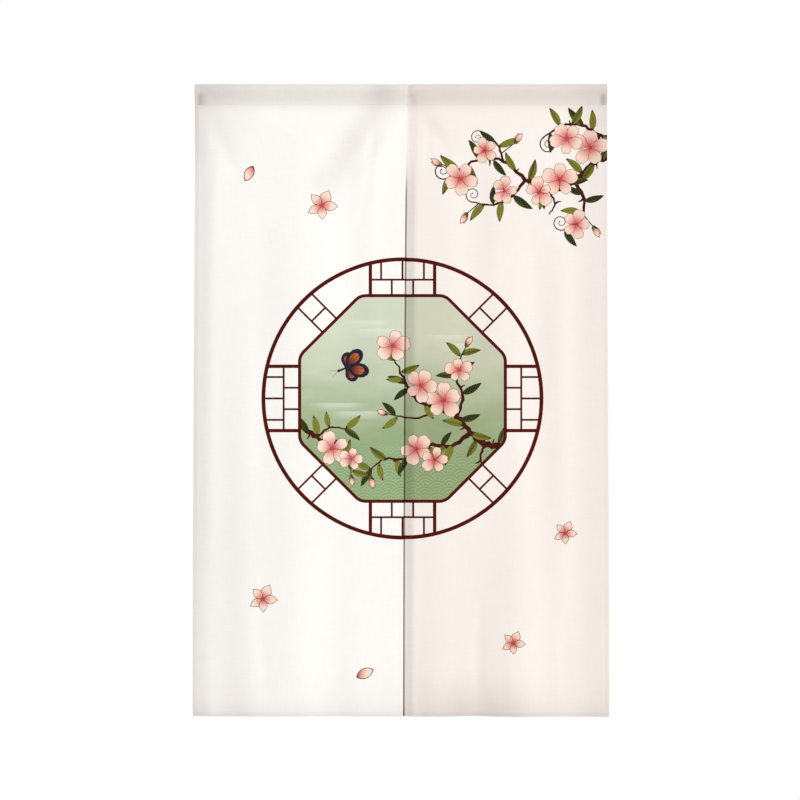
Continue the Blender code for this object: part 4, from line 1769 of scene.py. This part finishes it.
def petal_ink(spot):
    """Pink at the root, cream towards the tip, streaked from the root and flushed at the tip."""
    body = spot.along.fade(0.12, 0.74).mix(PETAL_ROOT, PETAL_TIP)
    angle = spot.across / (spot.along + 0.22)
    fan = (angle * 17.0 + spot.tone * 9.0).through("SINE").fade(0.15, 1.0)
    streak = fan * (1.0 - spot.along.fade(0.25, 0.85))
    body = (streak * 0.62).mix(body, PETAL_STREAK)
    root = 1.0 - spot.along.fade(0.05, 0.34)
    body = (root * 0.75).mix(body, PETAL_STREAK)
    tip = spot.along.fade(0.86, 1.0) * 0.45
    return tip.mix(body, PETAL_ROOT)


def leaf_ink(spot):
    """Olive to deep green by the leaf's tone and the side of its midrib, with faint veins."""
    side = spot.across.fade(-0.2, 1.2)
    depth = spot.tone * 0.85 + 0.25 - side * 0.35 + spot.along * 0.15 - 0.1
    body = depth.fade(0.1, 0.95).mix(LEAF_OLIVE, LEAF_DEEP)
    vein = (spot.along * 46.0 - spot.across * 8.0).through("SINE").fade(0.80, 1.0)
    return (vein * 0.22).mix(body, LEAF_VEIN)


def bough_ink(spot):
    """Brown bark with dark specks."""
    return speckle(spot, 420.0, 3.0).fade(0.35, 0.65).mix(WOOD, WOOD_DARK)


def wing_ink(spot):
    """Blue-black, a little dusty."""
    return speckle(spot, 300.0).fade(0.3, 0.7).mix(WING_DARK, WING_LIGHT)


def wing_patch_ink(spot):
    """Brown at the wing's root and orange towards its tip."""
    return spot.along.fade(0.2, 0.8).mix(PATCH_ROOT, PATCH_TIP)


def line_ink(colours):
    """Makes a line ink that wavers between two close colours."""

    def ink(spot):
        return speckle(spot, 200.0).fade(0.3, 0.7).mix(*colours)

    return ink


ink_makers = {
    "bare": None,
    "red": red_ink,
    "field": field_ink,
    "mist": mist_ink,
    "bough": bough_ink,
    "leaf": leaf_ink,
    "petal": petal_ink,
    "wing": wing_ink,
    "wing_patch": wing_patch_ink,
}
ink_makers.update({name: line_ink(colours) for name, colours in LINE_INKS.items()})
materials = {ink: cloth_material("print_" + ink, ink_makers[ink]) for ink in INKS}
for cloth in cloths.values():
    for ink in INKS:
        cloth.data.materials.append(materials[ink])
print("materials:", len(materials))

# %% [markdown]
# A lockstitch shows on both faces as a row of short, slightly sunken thread ends. Each cloth has
# one along both sides, one along the bottom hem and one along the pocket seam, though beside the
# slit the thread shows only on the back. Geometry Nodes put the stitches there: the rows are laid
# on the cloth as thin lines, and the tree walks along each line in even steps and sets a small
# stretched ball at every step. Its sizes are inputs with names, so one tree serves both cloths,
# and its seed gives each stitch a length of its own.

# %% A tree that sews
STITCH_PITCH = 0.0036
STITCH_LENGTH = 0.0030
THREAD_RADIUS = 0.00019
SHORTEST = 0.90
LONGEST = 1.04


def sewing_tree():
    """The node tree, with its sizes as named inputs."""
    tree = bpy.data.node_groups.new("sewing", "GeometryNodeTree")
    face = tree.interface
    face.new_socket("Rows", in_out="INPUT", socket_type="NodeSocketGeometry")
    for name in ("Pitch", "Length", "Thread Radius"):
        face.new_socket(name, in_out="INPUT", socket_type="NodeSocketFloat")
    face.new_socket("Seed", in_out="INPUT", socket_type="NodeSocketInt")
    face.new_socket("Thread", in_out="INPUT", socket_type="NodeSocketMaterial")
    face.new_socket("Stitches", in_out="OUTPUT", socket_type="NodeSocketGeometry")
    desk = Wire(tree)
    given = tree.nodes.new("NodeGroupInput")
    wire = {socket.name: Wire(tree, socket) for socket in given.outputs if socket.name}
    curve = desk.node("GeometryNodeMeshToCurve", None, {"Mesh": wire["Rows"]})
    points = desk.node(
        "GeometryNodeResampleCurve", {"mode": "LENGTH"}, {"Curve": curve, "Length": wire["Pitch"]}
    )
    tangent = desk.node("GeometryNodeInputTangent")
    turn = desk.node("FunctionNodeAlignRotationToVector", {"axis": "Z"}, {"Vector": tangent})
    vary = desk.node(
        "FunctionNodeRandomValue",
        {"data_type": "FLOAT"},
        {"Min": SHORTEST, "Max": LONGEST, "Seed": wire["Seed"]},
        "Value",
    )
    radius = wire["Thread Radius"]
    half = wire["Length"] * 0.5 * vary
    scale = desk.node("ShaderNodeCombineXYZ", None, {0: radius, 1: radius, 2: half})
    ball = desk.node("GeometryNodeMeshUVSphere", None, {"Segments": 6, "Rings": 4, "Radius": 1.0})
    soft = desk.node("GeometryNodeSetShadeSmooth", None, {"Geometry": ball})
    sockets = {"Points": points, "Instance": soft, "Rotation": turn, "Scale": scale}
    placed = desk.node("GeometryNodeInstanceOnPoints", None, sockets)
    real = desk.node("GeometryNodeRealizeInstances", None, {"Geometry": placed})
    dressed = desk.node(
        "GeometryNodeSetMaterial", None, {"Geometry": real, "Material": wire["Thread"]}
    )
    end = tree.nodes.new("NodeGroupOutput")
    tree.links.new(dressed.socket, end.inputs[0])
    return tree


sewing = sewing_tree()
print("sewing tree:", len(sewing.nodes), "nodes")

# %% [markdown]
# The rows follow the same surface as the cloth, so the thread lies in its groove on either face.
# After the tree has run, its result is copied to a plain mesh and the modifier is removed.

# %% Stitches on both cloths
ROW_SAMPLES = 0.0040
ROW_INSET = 0.0015
BELOW_SEAM = 0.0012
ABOVE_HEM = 0.0020
ABOVE_SEAM = 0.0030
THREAD_LIFT = 0.35


def seam_rows(side):
    """Lines of points on both faces where the sewing runs."""
    down = np.arange(POCKET + BELOW_SEAM, DROP - ABOVE_HEM, ROW_SAMPLES)
    over = np.arange(ABOVE_SEAM - POCKET, POCKET - ABOVE_SEAM, ROW_SAMPLES)
    width = np.arange(ROW_INSET, PANEL_WIDTH - ROW_INSET, ROW_SAMPLES)
    outer = SIDE_STITCH if side == "left" else PANEL_WIDTH - SIDE_STITCH
    lines = [
        (outer, down, True),
        (outer, over, True),
        (SIDE_STITCH, down, False),
        (PANEL_WIDTH - SIDE_STITCH, down, False),
        (width, DROP - BOTTOM_STITCH, True),
        (width, DROP - BOTTOM_STITCH, False),
        (width, POCKET - POCKET_STITCH, True),
        (width, POCKET_STITCH - POCKET, True),
    ]
    verts, edges = [], []
    lift = THREAD_RADIUS * THREAD_LIFT
    for across, path, printed in lines:
        front, back, direction = cloth_faces(side, *np.broadcast_arrays(across, path))
        row = front + direction * lift if printed else back - direction * lift
        edges += [(len(verts) + i, len(verts) + i + 1) for i in range(len(row) - 1)]
        verts += row.tolist()
    return verts, edges


thread = cloth_material("sewing_thread", None)
stitches = {}
for number, side in enumerate(("left", "right")):
    verts, edges = seam_rows(side)
    rows_mesh = bpy.data.meshes.new("rows_" + side)
    rows_mesh.from_pydata(verts, edges, [])
    rows_object = bpy.data.objects.new("rows_" + side, rows_mesh)
    scene.collection.objects.link(rows_object)
    modifier = rows_object.modifiers.new("sewing", "NODES")
    modifier.node_group = sewing
    values = {
        "Pitch": STITCH_PITCH,
        "Length": STITCH_LENGTH,
        "Thread Radius": THREAD_RADIUS,
        "Seed": number + 1,
        "Thread": thread,
    }
    for item in sewing.interface.items_tree:
        if item.in_out == "INPUT" and item.name in values:
            modifier[item.identifier] = values[item.name]
    depsgraph = bpy.context.evaluated_depsgraph_get()
    sewn_mesh = bpy.data.meshes.new_from_object(rows_object.evaluated_get(depsgraph))
    sewn_mesh.name = "stitches_" + side
    rows_object.modifiers.remove(modifier)
    bpy.data.objects.remove(rows_object)
    stitches[side] = bpy.data.objects.new("stitches_" + side, sewn_mesh)
    scene.collection.objects.link(stitches[side])
    print("stitches", side, len(sewn_mesh.polygons), "faces")

# %% [markdown]
# Last, each piece is tied to the frame. A cloth stands for two solids, its panel and the heading
# above it, because on the real curtain they are one cloth, and both solids are hidden. Cut flat, a
# cloth is the panel's width with both side hems, and its length with the bottom hem and the pocket's
# back.

for side in ("left", "right"):
    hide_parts("panel_" + side, "heading_" + side)
    for piece in (cloths[side], stitches[side]):
        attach(piece, "root")
